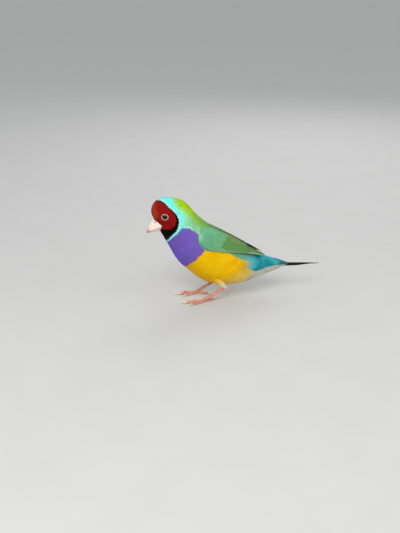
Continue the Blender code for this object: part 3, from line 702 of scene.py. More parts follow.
# Coat by station: depth of the coat, spacing of the feathers
COAT_STATIONS = np.array((0.0, 1.5, 3.5, 6.0, 8.0, 10.0, 12.5, 15.0, 17.0, 19.0))
COAT_DEPTH = np.array((0.22, 0.26, 0.34, 0.45, 0.55, 0.65, 0.7, 0.7, 0.55, 0.4))
COAT_SPACING = np.array((0.3, 0.33, 0.4, 0.53, 0.66, 0.76, 0.82, 0.82, 0.78, 0.68))
FEATHER_LENGTH = 4.0  # in spacings
CANDIDATES, CLOSEST = 3.2, 0.78  # random places for each feather kept, and least gap in spacings
END_TAPER = 1.0


def coat_depth(t):
    return np.interp(t, COAT_STATIONS, COAT_DEPTH)


def end_taper(t):
    """How far the last coverts lie inside the body's outline, to close on the tail."""
    return END_TAPER * step_up(t, 17.2, 19.3)


def coat_spacing(t):
    return np.interp(t, COAT_STATIONS, COAT_SPACING)


def clear_of_face(t, angle):
    """True for feathers that show past the bill's base and have no root on the bare eye ring."""
    root, along, _, _ = body_chart(t, angle)
    reach = coat_spacing(t) * FEATHER_LENGTH * 0.6
    tips = root + along / np.linalg.norm(along, axis=1)[:, None] * reach[:, None]
    free = ~covered_by_bill(tips)
    for side in (-1, 1):
        eye, _ = eye_place(side)
        free &= np.linalg.norm(root - eye, axis=1) > LID_RADIUS + LID_THICKNESS - 0.1
    return free


def scatter(low_t, high_t, rng):
    """Random places for the coat's feathers, thinned until they are a spacing apart."""
    grid_t = np.linspace(low_t, high_t, 160)
    grid_a = np.linspace(-math.pi, math.pi, 120, endpoint=False)
    mesh_t, mesh_a = (g.ravel() for g in np.meshgrid(grid_t, grid_a, indexing="ij"))
    step_t, step_a = grid_t[1] - grid_t[0], grid_a[1] - grid_a[0]
    _, along, around, _ = loft_frame(BODY, mesh_t, mesh_a)
    weight = np.linalg.norm(np.cross(along, around), axis=1) / coat_spacing(mesh_t) ** 2
    cell = step_t * step_a
    wanted = int(weight.sum() * cell * CANDIDATES)
    picked = rng.choice(len(mesh_t), wanted, p=weight / weight.sum())
    t = mesh_t[picked] + rng.uniform(-0.5, 0.5, wanted) * step_t
    a = mesh_a[picked] + rng.uniform(-0.5, 0.5, wanted) * step_a
    t = np.clip(t, low_t, high_t)
    points = loft(BODY, t, a)
    gap = coat_spacing(t) * CLOSEST
    tree = search_tree(points)
    gone = np.zeros(wanted, bool)
    for i in range(wanted):
        if gone[i]:
            continue
        for _, j, _ in tree.find_range(points[i], gap[i]):
            if j > i:
                gone[j] = True
    stay = ~gone & clear_of_face(t, a)
    return t[stay], a[stay]


def add_coat_zone(name, low_t, high_t, material, rng, strips):
    """Body feathers between two stations, as one piece of coat."""
    t, angle = scatter(low_t, high_t, rng)
    spacing, depth, count = coat_spacing(t), coat_depth(t), len(t)
    length = spacing * FEATHER_LENGTH * rng.uniform(0.85, 1.15, count)
    half = spacing * rng.uniform(0.8, 1.1, count)
    low = -depth * 0.95 - end_taper(t)
    high = rng.normal(-0.08, 0.06, count) * depth - 0.02 - end_taper(t + 0.4)
    lie = rng.normal(0, 0.12, count)
    return tuft_field(
        name, body_chart, t, angle, (length, half, low, high, lie, spacing * 0.08), material, rng,
        markings, strips, (angle / (2 * math.pi) + 0.5, arc_share(t)),
    )


def tube_mesh(centres, radii, segments):
    """Points and faces of a closed tube, whose radii are single or (across, upright) pairs."""
    centres = np.asarray(centres, float)
    points = []
    for i, centre in enumerate(centres):
        ahead = Vector(centres[min(i + 1, len(centres) - 1)] - centres[max(i - 1, 0)])
        side = ahead.cross(Vector((0, 0, 1))).normalized()
        upright = side.cross(ahead).normalized()
        wide, tall = radii[i] if np.ndim(radii[i]) else (radii[i], radii[i])
        for k in range(segments):
            turn = 2 * math.pi * (k + 0.5) / segments
            points.append(
                Vector(centre) + side * wide * math.cos(turn) + upright * tall * math.sin(turn)
            )
    faces = ring_faces(len(centres), segments) + end_faces(len(centres), segments)
    return np.array([tuple(p) for p in points]), faces


def join_objects(objects, name):
    """Joins objects into the first, in mesh code."""
    work = bmesh.new()
    for made in objects:
        work.from_mesh(made.data)
    mesh = bpy.data.meshes.new(name)
    work.to_mesh(mesh)
    work.free()
    for material in objects[0].data.materials:
        mesh.materials.append(material)
    for made in objects:
        bpy.data.objects.remove(made)
    return link_object(name, mesh)


def settle(made, voxel, smoothing, rounds):
    """Fuses overlapping shells by a voxel remesh, then smooths them."""
    remesh = made.modifiers.new("fuse", "REMESH")
    remesh.mode = "VOXEL"
    remesh.voxel_size = voxel * MM
    smooth = made.modifiers.new("smooth", "SMOOTH")
    smooth.factor = smoothing
    smooth.iterations = rounds
    graph = bpy.context.evaluated_depsgraph_get()
    mesh = bpy.data.meshes.new_from_object(made.evaluated_get(graph))
    material = made.data.materials[0]
    made.modifiers.clear()
    made.data = mesh
    if not mesh.materials:
        mesh.materials.append(material)
    mesh.shade_smooth()
    return made


def mesh_points(made):
    points = np.zeros(len(made.data.vertices) * 3)
    made.data.vertices.foreach_get("co", points)
    return points.reshape(-1, 3) / MM


def thigh_rings(name, shrink):
    """Centres and radii down one thigh, thinner than its plumage by shrink."""
    knee, heel = np.array(LEGS[name]["knee"]), np.array(LEGS[name]["heel"])
    below = heel + (heel - knee) / np.linalg.norm(heel - knee) * 0.4
    shares = np.linspace(0, 1, 15)
    centres = [knee + (below - knee) * share for share in shares]
    radii = np.maximum(np.interp(shares, THIGH[:, 0], THIGH[:, 1]) - shrink, 0.5)
    return centres, list(radii)


def add_skin(material):
    """One closed skin for head, neck, body, tail base and thighs, inside the solids by the coat."""
    rings, segments = 150, 120
    t = np.repeat(np.linspace(0, BODY_END, rings), segments)
    angle = np.tile(np.linspace(0, 2 * math.pi, segments, endpoint=False), rings)
    points, _, _, normals = body_chart(t, angle)
    points = points - normals * (coat_depth(t) * 1.02 + end_taper(t))[:, None]
    faces = ring_faces(rings, segments) + end_faces(rings, segments)
    shells = [closed_object("shell", points, faces, material)]
    for name in LEGS:
        shells.append(closed_object("shell", *tube_mesh(*thigh_rings(name, 0.6), 24), material))
    skin = settle(join_objects(shells, "skin"), 0.5, 0.5, 4)
    tree = search_tree(points)
    nearest = np.array([tree.find(point)[1] for point in mesh_points(skin)])
    # The skin takes the plumage's colours a tenth darker, as painted shade under the coat.
    paint(skin.data, markings(t[nearest], wrapped(angle[nearest])) * 0.9)
    return skin


FLOOR_REACH = 40000.0
WORLD_STRENGTH = 0.66
LIT_PLACE = Vector((-10, 0, 35))
# Round lamps: name, place, diameter, watts
LIGHTS = (
    ("key", (-320, -520, 620), 470, 3.4),
    ("fill", (420, -420, 300), 560, 0.7),
    ("rear", (250, 520, 480), 450, 1.0),
    ("spark", (-330, -560, 330), 50, 0.16),
)


def add_camera_and_stage():
    back = Vector((
        math.sin(AZIMUTH) * math.cos(ELEVATION),
        -math.cos(AZIMUTH) * math.cos(ELEVATION),
        math.sin(ELEVATION),
    ))
    right = (-back).cross(Vector((0, 0, 1))).normalized()
    upward = right.cross(-back)
    off_x = (TARGET_PIXEL[0] - IMAGE_WIDTH / 2) * MM_PER_PIXEL
    off_y = (IMAGE_HEIGHT / 2 - TARGET_PIXEL[1]) * MM_PER_PIXEL
    place = TARGET + back * CAMERA_DISTANCE
    aim = TARGET - right * off_x - upward * off_y
    data = bpy.data.cameras.new("camera")
    data.sensor_width = SENSOR
    data.lens = CAMERA_DISTANCE / MM_PER_PIXEL * SENSOR / IMAGE_HEIGHT
    camera = link_object("camera", data)
    camera.location = place * MM
    camera.rotation_euler = (aim - place).to_track_quat("-Z", "Y").to_euler()
    bpy.context.scene.camera = camera
    add_floor()
    add_lights()


def add_floor():
    """A plain sheet of paper that reaches past the edges of every view."""
    material, tree, shader = node_material("floor_paper", 0.8)
    coords = add_node(tree, "ShaderNodeTexCoord")
    noise = add_noise(tree, coords.outputs["Object"], 30.0)
    ramp = add_node(tree, "ShaderNodeValToRGB")
    ramp.color_ramp.elements[0].color = (0.60, 0.595, 0.58, 1)
    ramp.color_ramp.elements[1].color = (0.64, 0.635, 0.62, 1)
    tree.links.new(noise, ramp.inputs["Fac"])
    tree.links.new(ramp.outputs["Color"], shader.inputs["Base Color"])
    reach = FLOOR_REACH
    corners = [(-reach, -reach, 0), (reach, -reach, 0), (reach, reach, 0), (-reach, reach, 0)]
    floor = new_object("floor", corners, [(0, 1, 2, 3)], material)


def add_lights():
    world = bpy.data.worlds.new("studio")
    bpy.context.scene.world = world
    world.use_nodes = True
    background = world.node_tree.nodes["Background"]
    background.inputs["Color"].default_value = (0.86, 0.88, 0.9, 1)
    background.inputs["Strength"].default_value = WORLD_STRENGTH
    for name, spot, size, power in LIGHTS:
        data = bpy.data.lights.new(name, "AREA")
        data.shape = "DISK"
        data.size = size * MM
        data.energy = power
        light = link_object(name, data)
        light.location = Vector(spot) * MM
        light.rotation_euler = (LIT_PLACE - Vector(spot)).to_track_quat("-Z", "Y").to_euler()
    bpy.context.scene.view_settings.view_transform = "Standard"


def wing_place(s, share):
    """Wing station and angle of places on the folded wing."""
    row = table_at(WING_OUTLINE, s)
    return row[:, 0], np.radians(row[:, 1] + (row[:, 2] - row[:, 1]) * share)


def wing_points(s, share, across, height, side):
    """Points over the folded wing, moved round the body by a distance across.

    Towards the upper edge they come down into the coat of the back.
    """
    t, angle = wing_place(s, share)
    _, _, around, _ = loft_frame(WING, t, angle)
    angle = angle + across / np.linalg.norm(around, axis=1)
    point, _, _, normal = loft_frame(WING, t, angle)
    point = point + normal * height[:, None]
    row = table_at(WING_OUTLINE, s)
    down = (np.degrees(angle) - row[:, 1]) / (row[:, 2] - row[:, 1])
    level = back_rise(t + WING_START, angle) - WING_TUCK
    rest = loft(BODY, t + WING_START, angle) + normal * level[:, None]
    free = np.maximum(step_up(down, *WING_TUCK_SHARES), step_up(s, *TIP_STATIONS))
    point = rest + (point - rest) * free[:, None]
    point[:, 1] *= side
    return point


# Vanes of the folded wing from the lower edge up, as (along the outline, share down from the
# upper edge): count, first root, last root, first tip, last tip, half width, height, tip shape
WING_TIERS = {
    "primaries": (8, (2.0, 0.96), (2.3, 0.60), (8.1, 0.66), (5.9, 0.24), 1.75, 0.50, 0.5),
    "secondaries": (8, (2.2, 0.78), (2.2, 0.36), (5.5, 0.74), (5.1, 0.30), 1.9, 0.72, 0.75),
    "tertials": (3, (2.1, 0.30), (1.8, 0.10), (5.2, 0.22), (4.2, 0.10), 2.3, 0.92, 0.8),
    "primary_coverts": (6, (1.3, 0.97), (1.6, 0.84), (3.7, 0.96), (3.0, 0.84), 1.1, 0.92, 0.7),
    "greater_coverts": (9, (1.5, 0.92), (1.7, 0.10), (3.0, 0.87), (3.4, 0.15), 1.75, 1.02, 0.85),
    "median_coverts": (8, (1.0, 0.90), (1.2, 0.12), (2.2, 0.87), (2.55, 0.16), 1.9, 1.22, 0.85),
}
VANE_THICKNESS, TIP_THINNING = 0.12, 0.6
ROOT_SINK = 0.35  # how far a vane's root lies under the rest of it
VANE_CURL = -0.10
VANE_TILT, COVERT_TILT = 0.16, 0.08
SHAFT_PLACE, SHAFT_WIDTH = 0.25, 0.16
SHAFT_RISE, COVERT_SHAFT = 0.08, 0.03


def vane_outline(v, tip):
    """Share of the half width along a vane, rounder at the tip for a higher tip value."""
    root = 0.55 + 0.45 * step_up(v, 0.0, 0.3)
    point = np.clip((1 - v) / (0.1 + 0.25 * (1.2 - tip)), 0, 1)
    return root * (1 - (1 - point) ** 2) ** (0.5 + 0.4 * (1 - tip)) + 0.02


def vane_sheet(place, half_width, height, tip, rows=26, columns=8, tilt=0.0, shaft=SHAFT_PLACE,
               rise=SHAFT_RISE):
    """Closed thin vane with a raised shaft. place(share along, across, height) gives points."""
    v = np.linspace(0, 1, rows + 1)
    u = np.linspace(-1, 1, columns + 1)
    vv, uu = (g.ravel() for g in np.meshgrid(v, u, indexing="ij"))
    wide = vane_outline(vv, tip) * half_width
    ridge = rise * np.exp(-(((uu - shaft) / SHAFT_WIDTH) ** 2)) * (1 - vv)
    curl = VANE_CURL * (uu - shaft) ** 2
    low = height - ROOT_SINK * (1 - vv) ** 3 + tilt * uu + curl
    top = place(vv, uu * wide, low + VANE_THICKNESS * (1 - TIP_THINNING * vv) + ridge)
    under = place(vv, uu * wide, low)
    count = len(vv)
    step = columns + 1
    faces = []
    for r in range(rows):
        for c in range(columns):
            a, b = r * step + c, r * step + c + 1
            faces.append((a, b, b + step, a + step))
            faces.append((count + a, count + a + step, count + b + step, count + b))
    rim = list(range(step)) + [r * step + columns for r in range(1, rows + 1)]
    rim += [rows * step + c for c in range(columns - 1, -1, -1)]
    rim += [r * step for r in range(rows - 1, 0, -1)]
    for here, there in zip(rim, rim[1:] + rim[:1]):
        faces.append((here, count + here, count + there, there))
    return np.concatenate((top, under)), faces, np.tile(uu, 2), np.tile(vv, 2)


def merge_sheets(name, sheets, material, colours):
    """Joins vane sheets in one mesh, each with its own strip of the OFBake map."""
    points, faces, vane, bake = [], [], [], []
    start = 0
    for i, (sheet_points, sheet_faces, u, v) in enumerate(sheets):
        points.append(sheet_points)
        faces += [tuple(start + k for k in face) for face in sheet_faces]
        vane.append(np.stack((u + 4.0 * i, v), 1))
        face_side = np.repeat((0, 1), len(u) // 2)
        column = (2 * i + face_side + 0.5 + 0.42 * u) / (2 * len(sheets))
        bake.append(np.stack((column, 0.01 + 0.98 * v), 1))
        start += len(sheet_points)
    made = closed_object(name, np.concatenate(points), faces, material)
    corners = np.zeros(len(made.data.loops), int)
    made.data.loops.foreach_get("vertex_index", corners)
    paint(made.data, np.concatenate(colours))
    map_corners(made.data, "Vane", np.concatenate(vane), corners)
    map_corners(made.data, "OFBake", np.concatenate(bake), corners)
    return made


# Colours of a wing vane: outer web, inner web and its share, edge and its share, shaft's share
WING_TONES = {
    "primaries": (tone(50, 78, 26), tone(54, 62, 32), 0.8, tone(168, 194, 140), 0.7, 0.3),
    "secondaries": (tone(88, 136, 70), tone(84, 110, 62), 0.5, tone(112, 170, 104), 0.4, 0.25),
    "tertials": (tone(112, 138, 78), tone(106, 122, 70), 0.5, tone(140, 160, 92), 0.35, 0.2),
    "primary_coverts": (tone(104, 166, 118), tone(92, 142, 96), 0.3, tone(124, 194, 140), 0.3, 0.1),
    "greater_coverts": (
        tone(106, 170, 122), tone(96, 150, 102), 0.3, tone(122, 190, 138), 0.3, 0.1,
    ),
    "median_coverts": (
        tone(112, 182, 138), tone(104, 168, 122), 0.3, tone(126, 198, 148), 0.3, 0.08,
    ),
}


def wing_tint(tier, u, edge_from, rng):
    """Colour over one wing vane: dark inner web, coloured outer web, pale outer edge."""
    web, inner, inner_share, edge, edge_share, shaft_share = WING_TONES[tier]
    return layered(
        web * rng.uniform(0.93, 1.07),
        (inner, inner_share * step_up(u, 0.35, -0.45)),
        (edge, edge_share * step_up(u, edge_from, 0.98)),
        (tone(50, 56, 36), shaft_share * np.exp(-(((u - SHAFT_PLACE) / 0.05) ** 2))),
    )


def add_wing(name, side, material, rng):
    """Flight feathers and large coverts of one folded wing."""
    sheets, colours = [], []
    for tier, (count, root_a, root_b, tip_a, tip_b, half, height, shape) in WING_TIERS.items():
        covert = tier.endswith("coverts")
        tilt, rise = (COVERT_TILT, COVERT_SHAFT) if covert else (VANE_TILT, SHAFT_RISE)
        for i in range(count):
            f = i / (count - 1)
            root = np.array(root_a) * (1 - f) + np.array(root_b) * f
            tip = np.array(tip_a) * (1 - f) + np.array(tip_b) * f
            tip = tip + np.array((rng.uniform(-0.05, 0.05), 0))

            def place(along, across, level, root=root, tip=tip):
                s = root[0] + (tip[0] - root[0]) * along
                share = root[1] + (tip[1] - root[1]) * along
                return wing_points(s, share, across, level, side)

            wide = half * rng.uniform(0.95, 1.05)
            sheet = vane_sheet(place, wide, height + 0.03 * i, shape, tilt=tilt, rise=rise)
            sheets.append(sheet)
            edge_from = 0.1 if tier == "primaries" and i < 2 else 0.6
            colours.append(wing_tint(tier, sheet[2], edge_from, rng))
    return merge_sheets(f"wing_vanes_{name}", sheets, material, colours)


def wing_chart(side):
    """Wing places as a chart: t is the station along the outline, angle the share across."""
    def place(s, share):
        zero = np.zeros(len(s))
        return wing_points(s, share, zero, zero, 1.0)

    def chart(s, share):
        point, along, around = surface_at(place, s, share)
        normal = unit(np.cross(along, around))
        for values in (point, along, around, normal):
            values[:, 1] *= side
        return point, along, around, normal
    return chart


# Lesser coverts: over the wing's bend, and along its upper edge
BEND_COVERTS, EDGE_COVERTS = 1500, 700


def add_lesser_coverts(name, side, material, rng):
    """Small feathers over the bend of the wing and along its upper edge."""
    s = rng.uniform(-0.15, 1.75, BEND_COVERTS)
    share = rng.uniform(-0.05, 1.03, BEND_COVERTS)
    s = np.concatenate((s, rng.uniform(0.0, 4.2, EDGE_COVERTS)))
    share = np.concatenate((share, rng.uniform(-0.16, 0.1, EDGE_COVERTS)))
    count = len(s)
    length = rng.uniform(3.0, 4.2, count) * (1 - 0.5 * step_up(share, 0.8, 1.0))
    half = rng.uniform(0.8, 1.15, count)
    ramp = step_up(s, -0.2, 1.0) * step_up(share, -0.05, 0.45) * step_up(share, 1.06, 0.9)
    low = -0.5 + 1.3 * ramp
    high = 0.15 + 1.35 * ramp + rng.normal(0, 0.05, count)
    lie = rng.normal(0, 0.12, count)
    cup = np.full(count, 0.14)

    def paint_at(s, share, jitter):
        t, angle = wing_place(s, np.clip(share, -0.2, 1.1))
        point = wing_points(s, share, np.zeros(len(s)), np.zeros(len(s)), 1.0)
        patch = lattice_noise(point, 4.0, 21)
        grain = lattice_noise(point, 1.1, 22)
        colour = layered(
            blend_along(s + 0.2 * share, ((0.3, SEA), (1.5, AQUA))),
            (MANTLE, step_up(share + 0.1 * patch, 0.3, -0.05) * step_up(s, 0.4, 1.2)),
            (OLIVE, 0.5 * step_up(s, 2.6, 4.0) * step_up(share, 0.3, 0.1)),
        )
        shoulder = back_colour(t + WING_START, np.degrees(angle), patch)
        colour = mix(shoulder, colour, step_up(s, 0.0, 1.2) * step_up(share, -0.15, 0.15))
        return colour * (1 + 0.05 * grain + 0.05 * patch)[:, None]

    return tuft_field(
        f"coverts_{name}", wing_chart(side), s, share, (length, half, low, high, lie, cup),
        material, rng, paint_at, 9, (0.1 + 0.1 * s, 0.3 + 0.4 * share),
    )


# Tail feathers in pairs, from the long central pair outwards: x of the tip, half width
RECTRICES = ((62.2, 1.1), (57.0, 1.3), (54.5, 1.35), (52.5, 1.35), (50.5, 1.3), (48.8, 1.3))
RECTRIX_ROOT = np.array((24.0, 0.0, 21.9))
TAIL_TIP_Z = 18.6
# Each pair's step outwards and down from the one before, and the level of them all
TAIL_SPREAD, TAIL_DROP, TAIL_LEVEL = 0.26, 0.24, 0.5


def add_tail(material, rng):
    """Twelve folded tail feathers, the central pair long and pointed."""
    sheets, colours = [], []
    slope = (TAIL_TIP_Z - RECTRIX_ROOT[2]) / (RECTRICES[0][0] - RECTRIX_ROOT[0])
    for pair, (tip_x, half) in enumerate(RECTRICES):
        for side in (-1, 1):
            spread = TAIL_SPREAD * (pair + 0.55)
            root = RECTRIX_ROOT + np.array((0, side * spread, -TAIL_DROP * pair))
            reach = tip_x - RECTRIX_ROOT[0]
            tip = root + np.array((reach, -side * spread * 0.35, slope * reach + 0.06 * pair))

            def place(along, across, level, root=root, tip=tip, side=side):
                point = root + (tip - root) * along[:, None]
                return point + np.stack((0 * across, across * side, level), 1)

            level = TAIL_LEVEL + 0.02 * side
            sheet = vane_sheet(place, half, level, 0.3, 30, 6, tilt=-0.06, shaft=0.1)
            sheets.append(sheet)
            black = tone(20, 18, 20) * rng.uniform(0.9, 1.2)
            colours.append(mix(black, tone(54, 44, 36), 0.5 * step_up(sheet[2], 0.7, 1.0)))
    return merge_sheets("tail_vanes", sheets, material, colours)


# Long tail coverts, four tiers above the tail and then three below it: count, station of the
# roots and of the tips, first and last degrees, half width
COVERT_TIERS = (
    (9, 14.6, 16.4, -70.0, 70.0, 1.9),
    (8, 15.3, 17.2, -60.0, 60.0, 1.8),
    (6, 16.0, 18.1, -50.0, 50.0, 1.5),
    (5, 16.6, 19.1, -36.0, 36.0, 1.1),
    (8, 14.9, 16.8, 118.0, 242.0, 1.8),
    (6, 15.6, 17.8, 130.0, 230.0, 1.6),
    (5, 16.3, 18.9, 144.0, 216.0, 1.3),
)
UPPER_TIERS = 4


def add_tail_coverts(material, rng):
    """Long soft coverts over and under the tail's base."""
    sheets, colours = [], []
    for tier, (count, root_t, tip_t, first, last, half) in enumerate(COVERT_TIERS):
        for i in range(count):
            degrees = first + (last - first) * i / (count - 1)
            root = np.array((root_t + rng.uniform(-0.1, 0.1), math.radians(degrees)))
            closing = 0.9 if tier < UPPER_TIERS else 1.0
            tip = np.array((tip_t - rng.uniform(0, 0.35), math.radians(degrees * closing)))

            def place(along, across, level, root=root, tip=tip):
                t = root[0] + (tip[0] - root[0]) * along
                angle = root[1] + (tip[1] - root[1]) * along
                _, _, around, _ = loft_frame(BODY, t, angle)
                angle = angle + across / np.maximum(np.linalg.norm(around, axis=1), 1.0)
                point, _, _, normal = loft_frame(BODY, t, angle)
                return point + normal * (level - end_taper(t))[:, None]

            level = -0.12 + 0.05 * (tier % UPPER_TIERS)
            sheet = vane_sheet(place, half, level, 0.8, 16, 8, shaft=0.0)
            sheets.append(sheet)
            t = root[0] + (tip[0] - root[0]) * sheet[3]
            angle = root[1] + (tip[1] - root[1]) * sheet[3]
            tint = markings(np.minimum(t, 18.9), wrapped(angle))
            colours.append(tint * rng.uniform(0.92, 1.06))
    return merge_sheets("tail_coverts", sheets, material, colours)


THIGH_FEATHERS = 1700


def add_thigh_coat(name, material, rng):
    """Short loose feathers on one thigh, lying towards the heel."""
    centres, radii = thigh_rings(name, 0.0)
    axis = centres[-1] - centres[0]
    total = np.linalg.norm(axis)
    axis = axis / total
    side = np.cross(axis, (0, 0, 1))
    side /= np.linalg.norm(side)
    upright = np.cross(side, axis)
    shares = np.linspace(0, 1, len(radii))

    def outwards(turn):
        return side * np.cos(turn)[:, None] + upright * np.sin(turn)[:, None]

    def place(s, turn):
        radius = (np.interp(s, shares, radii) - 0.45 * step_up(s, 0.6, 1.1))[:, None]
        return centres[0] + axis * (s * total)[:, None] + outwards(turn) * radius

    def chart(s, turn):
        return *surface_at(place, s, turn, 0.01), outwards(turn)

    count = THIGH_FEATHERS
    s = rng.uniform(0.0, 0.94, count)
    turn = rng.uniform(-math.pi, math.pi, count)
    length = rng.uniform(1.8, 3.0, count) * (1 - 0.45 * step_up(s, 0.6, 0.95))
    half = rng.uniform(0.4, 0.7, count)
    low = np.full(count, -0.6)
    high = rng.normal(-0.04, 0.12, count)
    lie = rng.normal(0, 0.25, count)
    cup = np.full(count, 0.06)

    def paint_at(s, turn, jitter):
        patch = 0.06 * np.sin(3 * turn)
        return blend_along(s + patch, ((0.25, YELLOW), (0.5, CREAM), (0.85, PALE_CREAM)))

    return tuft_field(
        f"thigh_coat_{name}", chart, s, turn, (length, half, low, high, lie, cup),
        material, rng, paint_at, 5, (turn / (2 * math.pi) + 0.5, 0.05 + 0.9 * s),
    )


def bill_points(forward, upward, side):
    """Places given ahead of, above and beside the gape, in the pitched head's own axes."""
    ahead, above = bill_axes()
    aside = np.stack((0 * side, side, 0 * side), 1)
    return GAPE + ahead * forward[:, None] + above * upward[:, None] + aside


NOSTRIL_DEPTH, NOSTRIL_RADIUS = 0.8, 0.45


def add_mandible(name, upper, material):
    """One mandible as a fine loft, with a nostril pressed into each side of the upper one."""
    rows, segments = 72, 72
    slant = CULMEN_SLANT if upper else -GONYS_SLANT
    t = np.repeat(np.linspace(0, len(BILL) - 1.0, rows), segments + 1)
    turn = np.tile(np.linspace(0, math.pi, segments + 1), rows)
    forward, culmen, mouth, gonys, width = table_at(BILL, t).T
    inner = mouth + (MOUTH_GAP / 2 if upper else -MOUTH_GAP / 2)
    outer = culmen if upper else gonys
    wide = width * (1.0 if upper else 0.93)
    level = inner + (outer - inner) * np.sin(turn) ** BILL_FULLNESS
    side = np.sign(np.cos(turn)) * np.abs(np.cos(turn)) ** BILL_FULLNESS * wide
    reach = forward + slant * (1 - t / (len(BILL) - 1)) * level
    points = bill_points(reach, level, side)
    ahead, upward, aside = (np.full(2, value) for value in NOSTRIL)
    nostrils = bill_points(ahead, upward, aside * (-1, 1))
    if upper:
        for sign, nostril in zip((-1, 1), nostrils):
            away = np.linalg.norm(points - nostril, axis=1)
            points[:, 1] -= sign * NOSTRIL_DEPTH * np.exp(-((away / NOSTRIL_RADIUS) ** 2))
    faces = ring_faces(rows, segments + 1) + end_faces(rows, segments + 1)
    made = closed_object(name, points, faces, material)
    ivory, pink, shadow = tone(248, 230, 220), tone(214, 128, 116), tone(168, 116, 104)
    share = reach / BILL[-1, 0]
    blush = step_up(share, 0.62, 1.0) if upper else np.maximum(step_up(share, 0.5, 0.95), 0.35)
    blush = np.maximum(blush, 0.5 * step_up(-level, 0.6, 2.2))
    mouth_line = 0.7 * step_up(np.abs(level - inner), 0.32, 0.05) * step_up(share, 1.0, 0.8)
    if upper:
        near = np.minimum(*(np.linalg.norm(points - place, axis=1) for place in nostrils))
        shaded = step_up(near, 0.95, 0.35)
    else:
        shaded = 0.5 * step_up(-level, 0.7, 2.0) * step_up(share, 0.5, 0.1)
    paint(made.data, layered(ivory, (pink, blush), (shadow, mouth_line), (shadow, shaded)))
    return made


def add_eye(name, side, materials):
    """Dark eyeball with its iris and pupil, in a ring of bare lid skin."""
    point, normal = eye_place(side)
    centre = Vector(point - normal * EYE_DEPTH)
    turn = Vector(normal).to_track_quat("Z", "Y").to_matrix()
    rings, segments = 24, 40
    points, tint = [], []
    for r in range(1, rings):
        polar = math.pi * r / rings
        for k in range(segments):
            a = 2 * math.pi * k / segments
            flat = math.sin(polar)
            local = Vector((flat * math.cos(a), flat * math.sin(a), math.cos(polar)))
            points.append(tuple(centre + turn @ local * EYE_RADIUS))
            tint.append(tone(30, 15, 9) if polar > PUPIL_POLAR else tone(2, 2, 2))
    points.append(tuple(centre + turn @ Vector((0, 0, EYE_RADIUS))))
    points.append(tuple(centre - turn @ Vector((0, 0, EYE_RADIUS))))
    tint += [tone(3, 2, 2), tone(20, 10, 8)]
    faces = ring_faces(rings - 1, segments)
    top, bottom = len(points) - 2, len(points) - 1
    last = (rings - 2) * segments
    faces += [(top, (k + 1) % segments, k) for k in range(segments)]
    faces += [(bottom, last + k, last + (k + 1) % segments) for k in range(segments)]
    ball = closed_object(f"eyeball_{name}", points, faces, materials["eye"])
    paint(ball.data, np.array(tint))
    return ball, add_lids(name, point, turn, materials["lid"])


def add_lids(name, point, turn, material):
    """A rounded ring of folded lid skin, a little pointed at its two corners."""
    segments, sides = 72, 14
    points = []
    for k in range(segments):
        a = 2 * math.pi * k / segments
        pull = 1 + 0.05 * math.cos(2 * a)
        thick = LID_THICKNESS * (1 + 0.08 * math.sin(9 * a))
        for j in range(sides):
            b = 2 * math.pi * j / sides
            reach = LID_RADIUS * pull + thick * math.cos(b)
            height = thick * 0.9 * math.sin(b) - 0.05
            local = Vector((reach * math.cos(a), reach * math.sin(a), height))
            points.append(tuple(Vector(point) + turn @ local))
    made = closed_object(
        f"lids_{name}", points, ring_faces(segments, sides, closed=True), material
    )
    paint(made.data, np.tile(tone(200, 150, 146), (len(points), 1)))
    return made


# Profile of one scute: share down it, share of the shank's waist
SCUTE_PROFILE = ((0.06, 0.965), (0.3, 1.0), (0.86, 1.055), (0.96, 1.03))
TOE_STEPS = 79


def add_leg(name, side, material):
    """Bare shank and four toes as one fused skin with overlapping scutes."""
    heel, ankle = np.array(LEGS[name]["heel"]), np.array(LEGS[name]["ankle"])
    down = (ankle - heel) / np.linalg.norm(ankle - heel)
    centres = [heel - down * 0.9, heel, heel + down * 1.2]
    radii = [0.7, 1.3, 1.25]
    first, last = SCUTES_SPAN
    for near, far in zip(SCUTE_EDGES, SCUTE_EDGES[1:]):
        waist = 1.02 - 0.1 * math.sin(math.pi * near)
        for place, bulge in SCUTE_PROFILE:
            share = first + (last - first) * (near + (far - near) * place)
            centres.append(heel + (ankle - heel) * share)
            radii.append(waist * bulge)
    centres += [ankle, ankle + down * 0.5]
    radii += [1.1, 0.75]
    radii = [SHANK_RADIUS * radius for radius in radii]
    parts = [closed_object("part", *tube_mesh(centres, radii, 28), material)]
    for degrees, length, _ in TOES:
        path, _ = toe_path(side, ankle, degrees, length)
        fine = np.linspace(0, len(path) - 1, TOE_STEPS)
        line = np.stack([np.interp(fine, range(len(path)), path[:, k]) for k in range(3)], 1)
        swell = np.interp(fine, range(len(TOE_PADS)), TOE_PADS)
        saw = 1 + 0.08 * (1 - (fine * TOE_SCUTES) % 1.0)
        rings = [(TOE_RADIUS * w * g, TOE_RADIUS * w * g * 0.95) for w, g in zip(swell, saw)]
        parts.append(closed_object("part", *tube_mesh(line, rings, 18), material))
    leg = settle(join_objects(parts, f"leg_{name}"), 0.1, 0.3, 1)
    points = mesh_points(leg)
    points[:, 2] = np.maximum(points[:, 2], 0.0)
    leg.data.vertices.foreach_set("co", (points * MM).ravel())
    leg.data.update()
    pink, pale, groove = tone(208, 138, 118), tone(230, 188, 160), tone(160, 100, 86)
    shade = lattice_noise(points, 1.2, 31)
    paint(leg.data, layered(
        pink,
        (pale, step_up(shade, -0.2, 0.8) * 0.6),
        (groove, 0.45 * groove_share(points, side, heel, ankle)),
    ))
    return leg


